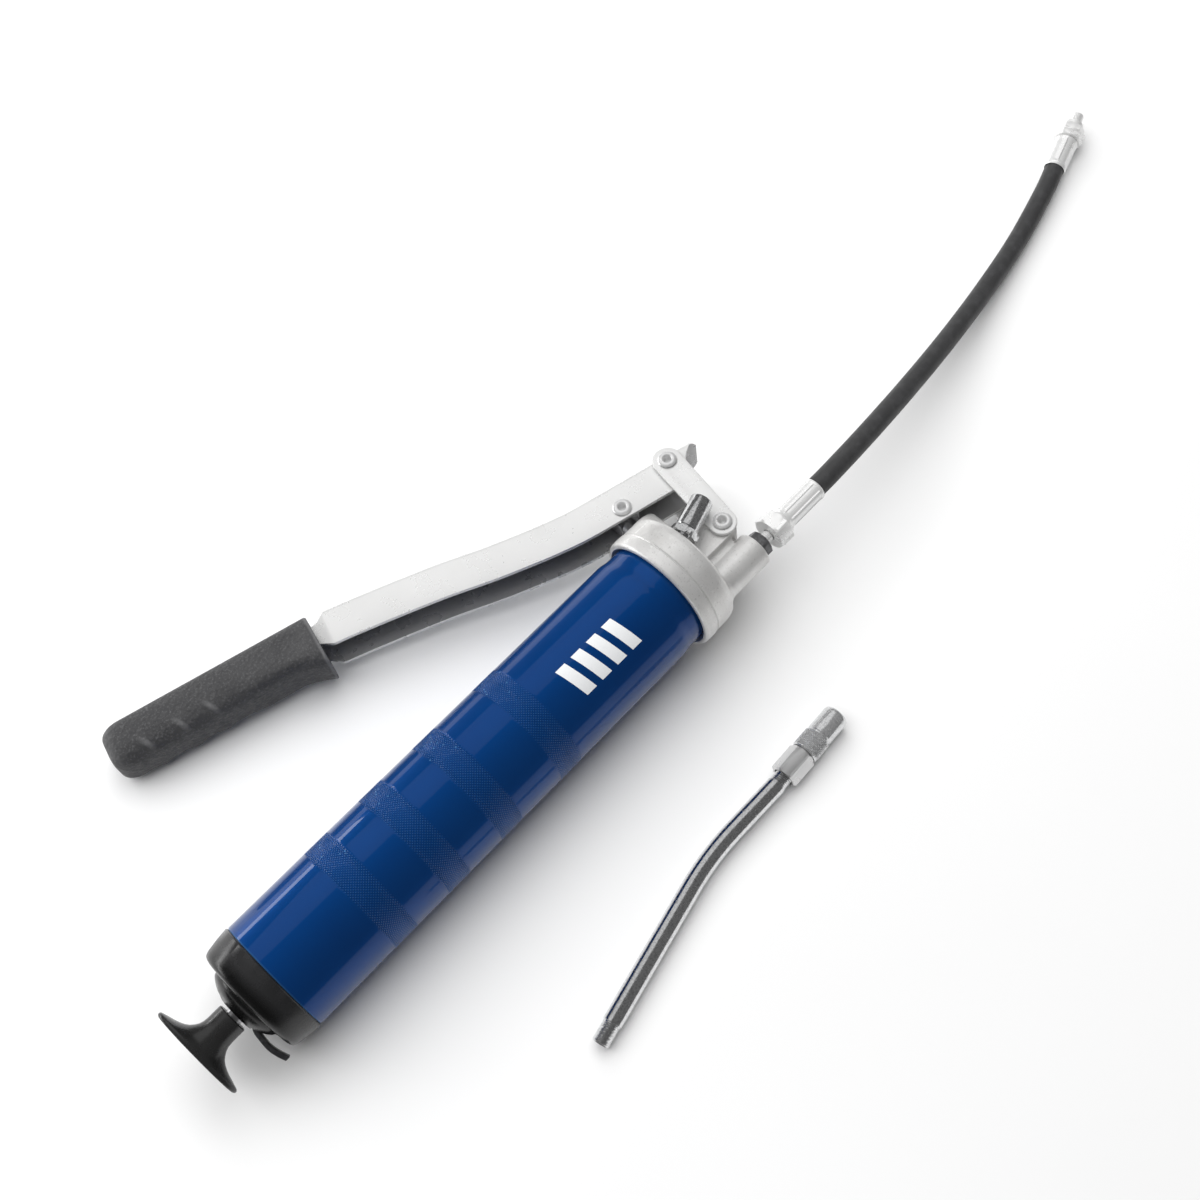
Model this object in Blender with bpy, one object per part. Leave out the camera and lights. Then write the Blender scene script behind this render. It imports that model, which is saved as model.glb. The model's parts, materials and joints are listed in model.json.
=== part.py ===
"""Lever-action grease gun lying on its side, with its hose and its spare rigid outlet pipe.

Metres, +Z up, resting on z = 0. The gun is drawn in its own frame: x along the barrel toward the
outlet, y toward the lever, z across the lever, origin on the barrel axis at the end cap. GUN then
lays it on the surface, where it rests on the head ring, the end cap and the tip of the grip.
"""

import math

import bmesh
import bpy
from mathutils import Matrix, Vector

# ---- how the gun lies ----
GUN_ROLL = math.radians(-6.933)
GUN_PITCH = math.radians(-0.691)
GUN_HEIGHT = 0.02835
ORIGIN = Vector((0.141843, 0.010353, 0.0))

# ---- barrel and end cap ----
BARREL_R = 0.0280
BARREL_WALL = 0.0012
BARREL_END = 0.2476
NECK_R = 0.0271
NECK_START = 0.2260
CAP_R = 0.0283
CAP_DEPTH = 0.0148
DOME_R = 0.0184
DOME_END = -0.0214
ROD_R = 0.0040
GAP = 0.0003

# ---- pump head ----
RING_LOW = 0.2363
RING_R = 0.0312
RING_BORE_R = 0.0274
HEAD_FLOOR = 0.2500
HEAD_TOP = 0.2570
PUMP_X = 0.2561
PUMP_BORE_R = 0.0050
PUMP_MOUTH_Y = 0.0306
PUMP_BOSS = (0.0110, 0.0085)
OUTLET_Y = -0.0180
OUTLET_R = 0.0090
OUTLET_END = 0.2840
LUG_HALF = 0.0110
FILLER_BASE = Vector((0.2560, 0.0025, 0.0200))
FILLER_LEAN = math.radians(16.5)

# ---- linkage pivots, seen along the pins ----
LINK_PIVOT = Vector((0.2798, -0.0022, 0.0))
LEVER_PIVOT = Vector((0.2882, 0.0399, 0.0))
PLUNGER_PIVOT = Vector((0.2561, 0.0394, 0.0))
PIN_R = 0.0027
LINK_HALF = 0.0133
LINK_SHEET = 0.0020
LEVER_HALF = 0.0110
LEVER_SHEET = 0.0020
NOSE_START = 0.3006
LEVER_DEPTH = 0.0190
SLOT_IN = 0.0006
SLOT_OUT = 0.0017

# ---- grip ----
GRIP_FRONT = 0.1160
GRIP_TALL = 0.0238
GRIP_WIDE = 0.0256
GRIP_ROUND = 0.0090

# ---- follower, rod and handle ----
FOLLOWER_X = 0.2200
TAIL_ROLL = math.radians(22.5)
TEE_FACE = -0.0435
TEE_HALF = 0.0227
LATCH_X = -0.0192

# ---- hose ----
HOSE_R = 0.00515
FERRULE_R = 0.0060
HOSE_EXIT = 0.3273

# ---- rigid pipe and coupler, lying beside the gun ----
PIPE_R = 0.0046
COUPLER_R = 0.0066
PIPE_END = Vector((0.0754, -0.1156, 0.0046))
PIPE_BEND = Vector((0.1667, -0.0957, 0.0059))
COUPLER_START = Vector((0.2175, -0.0957, 0.0066))
COUPLER_HEADING = math.radians(2.0)

GUN = (
    Matrix.Translation(Vector((0, 0, GUN_HEIGHT)) - ORIGIN)
    @ Matrix.Rotation(GUN_PITCH, 4, "Y")
    @ Matrix.Rotation(GUN_ROLL, 4, "X")
)
TABLE = Matrix.Translation(-ORIGIN)
TAIL = Matrix.Rotation(TAIL_ROLL, 4, "X")
X_TO_Z = Matrix.Rotation(math.radians(-90), 4, "Y")
X_TO_Y = Matrix.Rotation(math.radians(90), 4, "Z")

COLOURS = {
    "blue_paint": ((0.01, 0.05, 0.32, 1), 0.0, 0.2),
    "cast_alloy": ((0.62, 0.62, 0.62, 1), 1.0, 0.45),
    "zinc": ((0.75, 0.75, 0.74, 1), 1.0, 0.3),
    "chrome": ((0.8, 0.8, 0.8, 1), 1.0, 0.12),
    "steel": ((0.55, 0.55, 0.56, 1), 1.0, 0.35),
    "black_plastic": ((0.02, 0.02, 0.02, 1), 0.0, 0.35),
    "grip_vinyl": ((0.06, 0.06, 0.065, 1), 0.0, 0.7),
    "rubber": ((0.03, 0.03, 0.03, 1), 0.0, 0.8),
}


def clear_scene():
    for obj in list(bpy.data.objects):
        bpy.data.objects.remove(obj, do_unlink=True)


def material_for(name, look):
    colour, metallic, roughness = COLOURS[look]
    mat = bpy.data.materials.new(name + "_" + look)
    mat.use_nodes = True
    shader = mat.node_tree.nodes["Principled BSDF"]
    shader.inputs["Base Color"].default_value = colour
    shader.inputs["Metallic"].default_value = metallic
    shader.inputs["Roughness"].default_value = roughness
    return mat


def finish_mesh(name, bm):
    bmesh.ops.recalc_face_normals(bm, faces=bm.faces)
    mesh = bpy.data.meshes.new(name)
    bm.to_mesh(mesh)
    bm.free()
    obj = bpy.data.objects.new(name, mesh)
    bpy.context.scene.collection.objects.link(obj)
    return obj


def loft(name, sections):
    """Closed body through equal-length loops of points, with flat ends."""
    bm = bmesh.new()
    loops = [[bm.verts.new(point) for point in section] for section in sections]
    count = len(loops[0])
    for low, high in zip(loops, loops[1:]):
        for i in range(count):
            j = (i + 1) % count
            bm.faces.new((low[i], low[j], high[j], high[i]))
    bm.faces.new(loops[0][::-1])
    bm.faces.new(loops[-1])
    return finish_mesh(name, bm)


def lathe(name, profile, turn=Matrix.Identity(4), sides=32):
    """Revolves (x, r) points about the X axis. A profile that leaves the axis is a closed loop."""
    bm = bmesh.new()
    rings = []
    for x, r in profile:
        if r == 0:
            rings.append([bm.verts.new(turn @ Vector((x, 0, 0)))])
            continue
        ring = []
        for i in range(sides):
            a = 2 * math.pi * (i + 0.5) / sides
            ring.append(bm.verts.new(turn @ Vector((x, r * math.cos(a), r * math.sin(a)))))
        rings.append(ring)
    pairs = list(zip(rings, rings[1:]))
    if profile[0][1] > 0:
        pairs.append((rings[-1], rings[0]))
    for one, two in pairs:
        for i in range(sides):
            j = (i + 1) % sides
            corners = [one[i % len(one)], one[j % len(one)], two[j % len(two)], two[i % len(two)]]
            bm.faces.new(list(dict.fromkeys(corners)))
    return finish_mesh(name, bm)


def prism(name, outline, low, high, turn=Matrix.Identity(4)):
    """Extrudes an (x, y) outline from z = low to z = high."""
    sections = [[turn @ Vector((x, y, z)) for x, y in outline] for z in (low, high)]
    return loft(name, sections)


def box(name, low, high, turn=Matrix.Identity(4)):
    outline = [(low[0], low[1]), (high[0], low[1]), (high[0], high[1]), (low[0], high[1])]
    return prism(name, outline, low[2], high[2], turn)


def rod_between(name, start, end, radius, sides=24):
    span = end - start
    turn = Matrix.Translation(start) @ span.to_track_quat("X", "Z").to_matrix().to_4x4()
    return lathe(name, [(0, 0), (0, radius), (span.length, radius), (span.length, 0)], turn, sides)


def arc(centre, radius, start, stop, steps):
    """(x, y) points round a centre, angles in degrees."""
    angles = [math.radians(start + (stop - start) * i / steps) for i in range(steps + 1)]
    return [(centre[0] + radius * math.cos(a), centre[1] + radius * math.sin(a)) for a in angles]


def rounded_loop(wide, tall, radius, steps=5):
    """(across, up) points of a rounded rectangle."""
    w, t = wide / 2 - radius, tall / 2 - radius
    points = []
    for cx, cy, start in ((w, t, 0), (-w, t, 90), (-w, -t, 180), (w, -t, 270)):
        points += arc((cx, cy), radius, start, start + 90, steps)
    return points


def join(obj, helper, operation):
    helper.hide_render = True
    helper.display_type = "WIRE"
    modifier = obj.modifiers.new(helper.name, "BOOLEAN")
    modifier.operation = operation
    modifier.solver = "EXACT"
    modifier.object = helper


def add(obj, *helpers):
    for helper in helpers:
        join(obj, helper, "UNION")


def cut(obj, *helpers):
    for helper in helpers:
        join(obj, helper, "DIFFERENCE")


def place(obj, look, frame=GUN, pivot=Vector((0, 0, 0))):
    """Puts the object's origin on its pivot, lays it in its frame and gives it a material."""
    helpers = [m.object for m in obj.modifiers if m.type == "BOOLEAN"]
    for item in [obj] + helpers:
        item.data.transform(Matrix.Translation(-pivot))
        item.matrix_world = frame @ Matrix.Translation(pivot)
    obj.data.shade_smooth()
    obj.data.set_sharp_from_angle(angle=math.radians(35))
    obj.data.materials.append(material_for(obj.name, look))
    return obj


def curve_through(points, count):
    """Evenly stepped points of a smooth curve through the given ones."""
    ends = [points[0] * 2 - points[1]] + points + [points[-1] * 2 - points[-2]]
    fine = []
    for a, b, c, d in zip(ends, ends[1:], ends[2:], ends[3:]):
        for k in range(16):
            t = k / 16
            fine.append(
                0.5 * ((2 * b) + (c - a) * t + (2 * a - 5 * b + 4 * c - d) * t * t
                       + (3 * b - a - 3 * c + d) * t ** 3)
            )
    fine.append(points[-1])
    reach = [0.0]
    for a, b in zip(fine, fine[1:]):
        reach.append(reach[-1] + (b - a).length)
    result = []
    for i in range(count):
        want = reach[-1] * i / (count - 1)
        k = max(j for j in range(len(reach) - 1) if reach[j] <= want)
        share = (want - reach[k]) / (reach[k + 1] - reach[k])
        result.append(fine[k].lerp(fine[k + 1], share))
    return result


def coil(name, start, end, radius, wire, turns, sides=6, steps=14):
    """Open helical wire with flat ends, along the X axis."""
    count = int(turns * steps)
    sections = []
    for i in range(count + 1):
        a = 2 * math.pi * i / steps
        x = start + (end - start) * i / count
        centre = Vector((x, radius * math.cos(a), radius * math.sin(a)))
        out = Vector((0, math.cos(a), math.sin(a)))
        along = Vector((1, 0, 0))
        loop = []
        for k in range(sides):
            b = 2 * math.pi * k / sides
            loop.append(centre + wire * (math.cos(b) * out + math.sin(b) * along))
        sections.append(loop)
    return loft(name, sections)


# ---------------------------------------------------------------- barrel and end cap


def barrel():
    inner = BARREL_R - BARREL_WALL
    neck_inner = NECK_R - BARREL_WALL
    profile = [
        (0, BARREL_R),
        (NECK_START, BARREL_R),
        (NECK_START + 0.005, NECK_R),
        (BARREL_END, NECK_R),
        (BARREL_END, neck_inner),
        (NECK_START + 0.0055, neck_inner),
        (NECK_START + 0.0005, inner),
        (0, inner),
    ]
    place(lathe("barrel_tube", profile, sides=72), "blue_paint")


def end_cap():
    plug_r = BARREL_R - BARREL_WALL - GAP
    profile = [
        (0.006, plug_r - 0.002),
        (0.006, plug_r),
        (-GAP, plug_r),
        (-GAP, CAP_R),
        (-0.0115, CAP_R - 0.0014),
        (-0.0136, CAP_R - 0.0021),
        (-0.0146, CAP_R - 0.0037),
        (-CAP_DEPTH, DOME_R + 0.0011),
        (-0.0154, DOME_R),
        (-0.0175, 0.0168),
        (-0.0193, 0.0140),
        (-0.0206, 0.0105),
        (DOME_END, 0.0086),
        (DOME_END, ROD_R + GAP),
        (-0.0095, ROD_R + GAP),
        (-0.0095, 0.0120),
        (-0.0115, plug_r - 0.002),
    ]
    cap = lathe("end_cap", profile, sides=48)
    slot = box("latch_slot", (-0.0206, -0.0300, -0.0064), (-0.0156, 0.0092, 0.0064), TAIL)
    way_out = box("latch_way_out", (-0.0235, -0.0310, -0.0066), (-0.0160, -0.0084, 0.0066), TAIL)
    cut(cap, slot, way_out)
    place(cap, "black_plastic")


def rod_latch():
    """Bent lock plate: the rod runs through it, and its tab sticks out of the dome."""
    outline = [
        (LATCH_X - 0.0011, 0.0082),
        (LATCH_X - 0.0011, -0.0090),
        (LATCH_X - 0.0022, -0.0110),
        (LATCH_X - 0.0029, -0.0190),
        (LATCH_X - 0.0021, -0.0240),
        (LATCH_X - 0.0006, -0.0282),
        (LATCH_X + 0.0016, -0.0282),
        (LATCH_X + 0.0001, -0.0236),
        (LATCH_X - 0.0007, -0.0190),
        (LATCH_X + 0.0000, -0.0114),
        (LATCH_X + 0.0011, -0.0090),
        (LATCH_X + 0.0011, 0.0082),
    ]
    plate = prism("rod_latch", outline, -0.0058, 0.0058, TAIL)
    hole = lathe("latch_hole", [(-0.03, 0), (-0.03, 0.0047), (0.0, 0.0047), (0.0, 0)], sides=24)
    cut(plate, hole)
    place(plate, "steel", pivot=TAIL @ Vector((LATCH_X, 0.0080, 0)))


# ---------------------------------------------------------------- follower, rod and handle


def tee_handle():
    steps = (
        (-0.0232, 0.0073, 0.0073),
        (-0.0300, 0.0073, 0.0073),
        (-0.0340, 0.0081, 0.0076),
        (-0.0372, 0.0104, 0.0082),
        (-0.0393, 0.0142, 0.0090),
        (-0.0407, 0.0190, 0.0097),
        (-0.0416, TEE_HALF - 0.0006, 0.0100),
        (-0.0424, TEE_HALF, 0.0102),
        (-0.0430, TEE_HALF, 0.0102),
        (TEE_FACE, TEE_HALF - 0.0006, 0.0098),
    )
    sections = []
    for x, across, thick in steps:
        loop = []
        for i in range(32):
            a = 2 * math.pi * i / 32
            c, s = math.cos(a), math.sin(a)
            loop.append(TAIL @ Vector((x, across * c, thick * s)))
        sections.append(loop)
    handle = loft("tee_handle", sections)
    bore = lathe(
        "handle_bore",
        [(-0.0390, 0), (-0.0390, ROD_R + GAP), (-0.0200, ROD_R + GAP), (-0.0200, 0)],
        sides=24,
    )
    cut(handle, bore)
    place(handle, "black_plastic")


def follower_rod():
    profile = [
        (-0.0387, 0),
        (-0.0387, ROD_R),
        (FOLLOWER_X - 0.0040, ROD_R),
        (FOLLOWER_X - 0.0040, 0.0028),
        (FOLLOWER_X + 0.0120, 0.0028),
        (FOLLOWER_X + 0.0120, 0),
    ]
    place(lathe("follower_rod", profile, sides=24), "steel")


def follower_stack():
    """Rubber cup held between two steel plates by a nut on the end of the rod."""
    x = FOLLOWER_X
    bore = 0.0028 + GAP
    back = [(x - 0.0037, bore), (x - 0.0037, 0.0225), (x - 0.0022, 0.0225), (x - 0.0022, bore)]
    place(lathe("follower_back_plate", back, sides=28), "zinc")
    cup = [
        (x - 0.0019, bore),
        (x - 0.0019, 0.0240),
        (x - 0.0100, 0.0262),
        (x - 0.0100, 0.0265),
        (x + 0.0006, 0.0265),
        (x + 0.0020, 0.0250),
        (x + 0.0020, bore),
    ]
    place(lathe("follower_cup", cup, sides=36), "rubber")
    front = [(x + 0.0023, bore), (x + 0.0023, 0.0215), (x + 0.0038, 0.0215), (x + 0.0038, bore)]
    place(lathe("follower_front_plate", front, sides=28), "zinc")
    hex_bore = bore / math.cos(math.radians(30)) + 0.0001
    nut = [
        (x + 0.0041, hex_bore),
        (x + 0.0041, 0.0060),
        (x + 0.0086, 0.0060),
        (x + 0.0086, hex_bore),
    ]
    place(lathe("follower_nut", nut, sides=6), "steel")


def follower_spring():
    place(coil("follower_spring", 0.0012, FOLLOWER_X - 0.0056, 0.0150, 0.0009, 13, 5, 10), "steel")


# ---------------------------------------------------------------- pump head


def head_ring():
    profile = [
        (HEAD_TOP, 0),
        (HEAD_TOP, 0.0272),
        (HEAD_TOP - 0.0016, 0.0300),
        (HEAD_TOP - 0.0042, RING_R),
        (0.2446, RING_R),
        (0.2438, RING_R - 0.0007),
        (0.2428, RING_R - 0.0007),
        (0.2420, RING_R),
        (0.2372, RING_R - 0.0002),
        (RING_LOW, RING_R - 0.0011),
        (RING_LOW, 0),
    ]
    return lathe("head_casting", profile, sides=60)


def pump_boss():
    wide, deep = PUMP_BOSS
    sections = []
    steps = (
        (-0.012, 1.0),
        (PUMP_MOUTH_Y - 0.0014, 1.0),
        (PUMP_MOUTH_Y - 0.0004, 0.96),
        (PUMP_MOUTH_Y, 0.9),
    )
    for y, scale in steps:
        loop = []
        for i in range(36):
            a = 2 * math.pi * i / 36
            x = PUMP_X + scale * wide * math.cos(a)
            loop.append(Vector((x, y, scale * deep * math.sin(a))))
        sections.append(loop)
    return loft("pump_boss", sections)


def outlet_boss():
    r = OUTLET_R
    profile = [
        (HEAD_TOP - 0.0032, 0),
        (HEAD_TOP - 0.0032, r + 0.001),
        (HEAD_TOP + 0.0005, r + 0.001),
        (HEAD_TOP + 0.0030, r),
        (OUTLET_END - 0.0008, r),
        (OUTLET_END, r - 0.0008),
        (OUTLET_END, 0),
    ]
    return lathe("outlet_boss", profile, Matrix.Translation((0, OUTLET_Y, 0)), 40)


def lug():
    centre = (LINK_PIVOT.x, LINK_PIVOT.y)
    outline = [(HEAD_TOP - 0.0041, 0.0100), (HEAD_TOP - 0.0041, -0.0086)]
    outline += arc(centre, 0.0064, -90, 90, 10)
    outline += [(HEAD_TOP + 0.010, 0.0062)]
    return prism("lug", outline, -LUG_HALF, LUG_HALF)


def lug_rib():
    """Web between the lug and the outlet boss."""
    outline = [
        (HEAD_TOP - 0.0037, -0.0160),
        (0.2760, -0.0160),
        (0.2790, -0.0070),
        (HEAD_TOP - 0.0037, -0.0070),
    ]
    return prism("lug_rib", outline, -0.0070, 0.0070)


def filler_turn():
    return Matrix.Translation(FILLER_BASE) @ Matrix.Rotation(FILLER_LEAN, 4, "Z")


def head_bores():
    up = X_TO_Y.copy()
    up.translation = Vector((PUMP_X, 0, 0))
    bore = lathe(
        "pump_bore",
        [
            (OUTLET_Y, 0),
            (OUTLET_Y, 0.0015),
            (-0.0045, 0.0015),
            (-0.0040, PUMP_BORE_R),
            (0.0252, PUMP_BORE_R),
            (0.0252, 0.0058),
            (0.0268, 0.0058),
            (0.0268, PUMP_BORE_R),
            (0.0400, PUMP_BORE_R),
            (0.0400, 0),
        ],
        up,
        28,
    )
    axis = Matrix.Translation((0, OUTLET_Y, 0))
    outlet = lathe(
        "outlet_bore",
        [
            (0.2545, 0),
            (0.2545, 0.0018),
            (0.2630, 0.0018),
            (0.2650, 0.0046),
            (0.2900, 0.0046),
            (0.2900, 0),
        ],
        axis,
        28,
    )
    feed = rod_between("feed_port", Vector((0.2480, 0.0060, 0)), Vector((PUMP_X, 0.0060, 0)), 0.002, 11)
    pin = rod_between(
        "link_pin_hole",
        LINK_PIVOT + Vector((0, 0, -0.02)),
        LINK_PIVOT + Vector((0, 0, 0.02)),
        PIN_R + GAP,
    )
    filler = lathe(
        "filler_hole", [(-0.010, 0), (-0.010, 0.0038), (0.004, 0.0038), (0.004, 0)], filler_turn(), 20
    )
    cavity = lathe(
        "thread_cavity",
        [
            (0.2300, 0),
            (0.2300, 0.0292),
            (RING_LOW + 0.0003, 0.0292),
            (RING_LOW + 0.0021, RING_BORE_R),
            (HEAD_FLOOR, RING_BORE_R),
            (HEAD_FLOOR, 0),
        ],
        sides=60,
    )
    return [cavity, bore, outlet, feed, pin, filler]


def head_casting():
    head = head_ring()
    add(head, pump_boss(), outlet_boss(), lug(), lug_rib())
    cut(head, *head_bores())
    place(head, "cast_alloy")


def head_gasket():
    low, high = BARREL_END + GAP, HEAD_FLOOR - GAP
    profile = [(low, 0.0225), (low, 0.0268), (high, 0.0268), (high, 0.0225)]
    place(lathe("head_gasket", profile, sides=36), "rubber")


def outlet_check():
    axis = Matrix.Translation((0, OUTLET_Y, 0))
    ball_x, ball_r = 0.2680, 0.0028
    profile = [(ball_x - ball_r, 0)]
    for i in range(1, 8):
        a = math.pi * i / 8
        profile.append((ball_x - ball_r * math.cos(a), ball_r * math.sin(a)))
    profile.append((ball_x + ball_r, 0))
    place(lathe("check_ball", profile, axis, 16), "steel")
    spring = coil("check_spring", 0.2716, 0.2768, 0.0030, 0.0004, 3, 4, 10)
    spring.data.transform(axis)
    place(spring, "steel")


def threaded(start, stop, crest, pitch=0.0015, depth=0.0004):
    """(x, r) points of plain thread rings from start to stop."""
    count = int((stop - start) / pitch)
    step = (stop - start) / count
    points = []
    for i in range(count):
        x = start + step * i
        points += [(x, crest - depth), (x + step * 0.5, crest)]
    points.append((stop, crest - depth))
    return points


def hexagon(name, start, stop, corner, turn):
    """Hex block with its corners turned down at both ends, as a nut's are."""
    ease = corner * 0.13
    profile = [
        (start, 0),
        (start, corner - ease),
        (start + ease * 0.5, corner),
        (stop - ease * 0.5, corner),
        (stop, corner - ease),
        (stop, 0),
    ]
    return lathe(name, profile, turn, 6)


def outlet_adapter():
    axis = Matrix.Translation((0, OUTLET_Y, 0))
    body = lathe(
        "outlet_adapter",
        [(0.2774, 0)] + threaded(0.2774, 0.2838, 0.0043, 0.0030) + [(0.2850, 0.0039), (0.2850, 0)],
        axis,
        28,
    )
    add(body, hexagon("adapter_hex", OUTLET_END + GAP, 0.2892, 0.0069, axis))
    bore = lathe("adapter_bore", [(0.27, 0), (0.27, 0.0031), (0.30, 0.0031), (0.30, 0)], axis, 20)
    cut(body, bore)
    place(body, "steel")


def filler_nipple():
    turn = filler_turn()
    body = lathe(
        "filler_nipple",
        [(-0.0050, 0)]
        + threaded(-0.0050, 0.0034, 0.0035, 0.0020)
        + [
            (0.0066, 0.0034),
            (0.0068, 0.0054),
            (0.0236, 0.0055),
            (0.0245, 0.0049),
            (0.0245, 0),
        ],
        turn,
        28,
    )
    add(body, hexagon("filler_hex", 0.0030, 0.0067, 0.0072, turn))
    bore = lathe(
        "filler_bore",
        [(-0.0070, 0), (-0.0070, 0.0019), (0.0090, 0.0019), (0.0095, 0.0034),
         (0.0158, 0.0034), (0.0175, 0.0018), (0.0300, 0.0018), (0.0300, 0)],
        turn,
        20,
    )
    cut(body, bore)
    place(body, "chrome")
    profile = [(0.0095, 0)]
    for i in range(1, 8):
        a = math.pi * i / 8
        profile.append((0.0121 - 0.0026 * math.cos(a), 0.0026 * math.sin(a)))
    profile.append((0.0147, 0))
    place(lathe("filler_ball", profile, turn, 16), "steel")


# ---------------------------------------------------------------- linkage


def rivet(name, centre, reach, pivot):
    """Headed pin along z with a dimple in each head."""
    head = 0.0046
    thick = 0.0013
    profile = [(-reach - thick + 0.0007, 0), (-reach - thick, 0.0015), (-reach - thick, head - 0.0006)]
    profile += [(-reach - thick + 0.0006, head), (-reach, head), (-reach, PIN_R), (reach, PIN_R)]
    profile += [(reach, head), (reach + thick - 0.0006, head), (reach + thick, head - 0.0006)]
    profile += [(reach + thick, 0.0015), (reach + thick - 0.0007, 0)]
    turn = Matrix.Translation(centre) @ X_TO_Z
    place(lathe(name, profile, turn, 20), "zinc", pivot=pivot)


def link_outline():
    low = (LINK_PIVOT.x, LINK_PIVOT.y)
    top = (LEVER_PIVOT.x, LEVER_PIVOT.y)
    return arc(low, 0.0068, 170, 350, 12) + arc(top, 0.0072, -8, 170, 12)


def link():
    """Strap bent to a U: two plates outside the lever, joined by a web away from the barrel."""
    strap = prism("link", link_outline(), -LINK_HALF, LINK_HALF)
    inner = LINK_HALF - LINK_SHEET
    room = [
        (0.2600, -0.0200),
        (0.3200, -0.0200),
        (0.3200, 0.0030),
        (0.2857, 0.0030),
        (0.2900, 0.0240),
        (0.3200, 0.0240),
        (0.3200, 0.0600),
        (0.2600, 0.0600),
    ]
    cut(strap, prism("link_room", room, -inner, inner))
    for name, spot in (("link_low_hole", LINK_PIVOT), ("link_top_hole", LEVER_PIVOT)):
        reach = Vector((0, 0, 0.02))
        cut(strap, rod_between(name, spot - reach, spot + reach, PIN_R + GAP))
    place(strap, "zinc", pivot=LINK_PIVOT)
    rivet("link_rivet", LINK_PIVOT, LINK_HALF + GAP, LINK_PIVOT)


def lever_path():
    spots = (
        (0.0320, 0.1262),
        (0.0600, 0.1186),
        (0.1000, 0.1072),
        (0.1180, 0.1016),
        (0.1375, 0.0938),
        (0.1716, 0.0785),
        (0.1993, 0.0645),
        (0.2303, 0.0512),
        (0.2566, 0.0435),
        (0.2830, 0.0364),
        (0.3010, 0.0314),
        (0.3040, 0.0306),
    )
    path = curve_through([Vector((x, y, 0)) for x, y in spots], 24)
    for x in (GRIP_FRONT + 0.0008, GRIP_FRONT + 0.0060, NOSE_START, NOSE_START + 0.0018):
        k = max(i for i in range(len(path)) if path[i].x < x)
        share = (x - path[k].x) / (path[k + 1].x - path[k].x)
        path.insert(k + 1, path[k].lerp(path[k + 1], share))
    return path


def lever_section(centre, normal, half_deep, half_wide):
    t = LEVER_SHEET
    ease = 0.0012
    loop = [
        (-half_deep, half_wide),
        (half_deep - ease, half_wide),
        (half_deep, half_wide - ease),
        (half_deep, -half_wide + ease),
        (half_deep - ease, -half_wide),
        (-half_deep, -half_wide),
        (-half_deep, -half_wide + t),
        (half_deep - t, -half_wide + t),
        (half_deep - t, half_wide - t),
        (-half_deep, half_wide - t),
    ]
    return [centre + normal * n + Vector((0, 0, z)) for n, z in loop]


def lever_channel():
    path = lever_path()
    sections = []
    for i, centre in enumerate(path):
        ahead = path[min(i + 1, len(path) - 1)] - path[max(i - 1, 0)]
        normal = Vector((-ahead.y, ahead.x, 0)).normalized()
        share = min(1.0, max(0.0, (centre.x - GRIP_FRONT - 0.0008) / 0.0052))
        deep = 0.0058 + share * (LEVER_DEPTH / 2 - 0.0058)
        wide = 0.0092 + share * (LEVER_HALF - 0.0092)
        wide -= 0.0035 * (max(0.0, centre.x - NOSE_START) / 0.0034) ** 2
        sections.append(lever_section(centre, normal, deep, wide))
    lever = loft("lever", sections)
    for name, spot in (("lever_hole", LEVER_PIVOT), ("lever_plunger_hole", PLUNGER_PIVOT)):
        reach = Vector((0, 0, 0.02))
        cut(lever, rod_between(name, spot - reach, spot + reach, PIN_R + GAP))
    beak = [
        (0.3120, 0.0363),
        (0.3022, 0.0390),
        (0.2955, 0.0352),
        (0.2941, 0.0321),
        (0.2900, 0.0295),
        (0.2840, 0.0240),
        (0.3150, 0.0150),
    ]
    cut(lever, prism("lever_nose_cut", beak, -0.02, 0.02))
    place(lever, "zinc", pivot=LEVER_PIVOT)
    rivet("lever_rivet", LEVER_PIVOT, LINK_HALF + GAP, LEVER_PIVOT)
    rivet("plunger_rivet", PLUNGER_PIVOT, LEVER_HALF + GAP, LEVER_PIVOT)


def grip():
    """Moulded sleeve on the lever's tail, with a finger stop at its front."""
    start, end = Vector((0.0140, 0.1316, 0)), Vector((GRIP_FRONT, 0.1026, 0))
    along = (end - start).normalized()
    normal = Vector((-along.y, along.x, 0))
    length = (end - start).length
    stations = (
        (0.0, 0.62, 0.0),
        (0.0015, 0.80, 0.0),
        (0.0045, 0.93, 0.0),
        (0.0090, 1.0, 0.0),
        (0.0500, 1.0, 0.0),
        (length - 0.0160, 1.0, 0.0),
        (length - 0.0080, 1.0, 0.0018),
        (length - 0.0030, 1.0, 0.0050),
        (length, 0.99, 0.0062),
    )
    sections = []
    for along_by, scale, flare in stations:
        centre = start + along * along_by
        loop = []
        for across, up in rounded_loop(GRIP_WIDE * scale, GRIP_TALL * scale, GRIP_ROUND * scale):
            drop = flare if up < 0 else 0.0
            loop.append(centre + normal * (up - drop) + Vector((0, 0, across)))
        sections.append(loop)
    sleeve = loft("grip", sections)
    pocket_half = (0.0064, 0.0095)
    pocket = []
    for at in (0.0150, length + 0.01):
        centre = start + along * at
        loop = []
        for across, up in ((1, -1), (1, 1), (-1, 1), (-1, -1)):
            loop.append(
                centre + normal * (up * pocket_half[0] - 0.0004)
                + Vector((0, 0, across * pocket_half[1]))
            )
        pocket.append(loop)
    cut(sleeve, loft("grip_pocket", pocket))
    place(sleeve, "grip_vinyl", pivot=LEVER_PIVOT)


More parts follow.
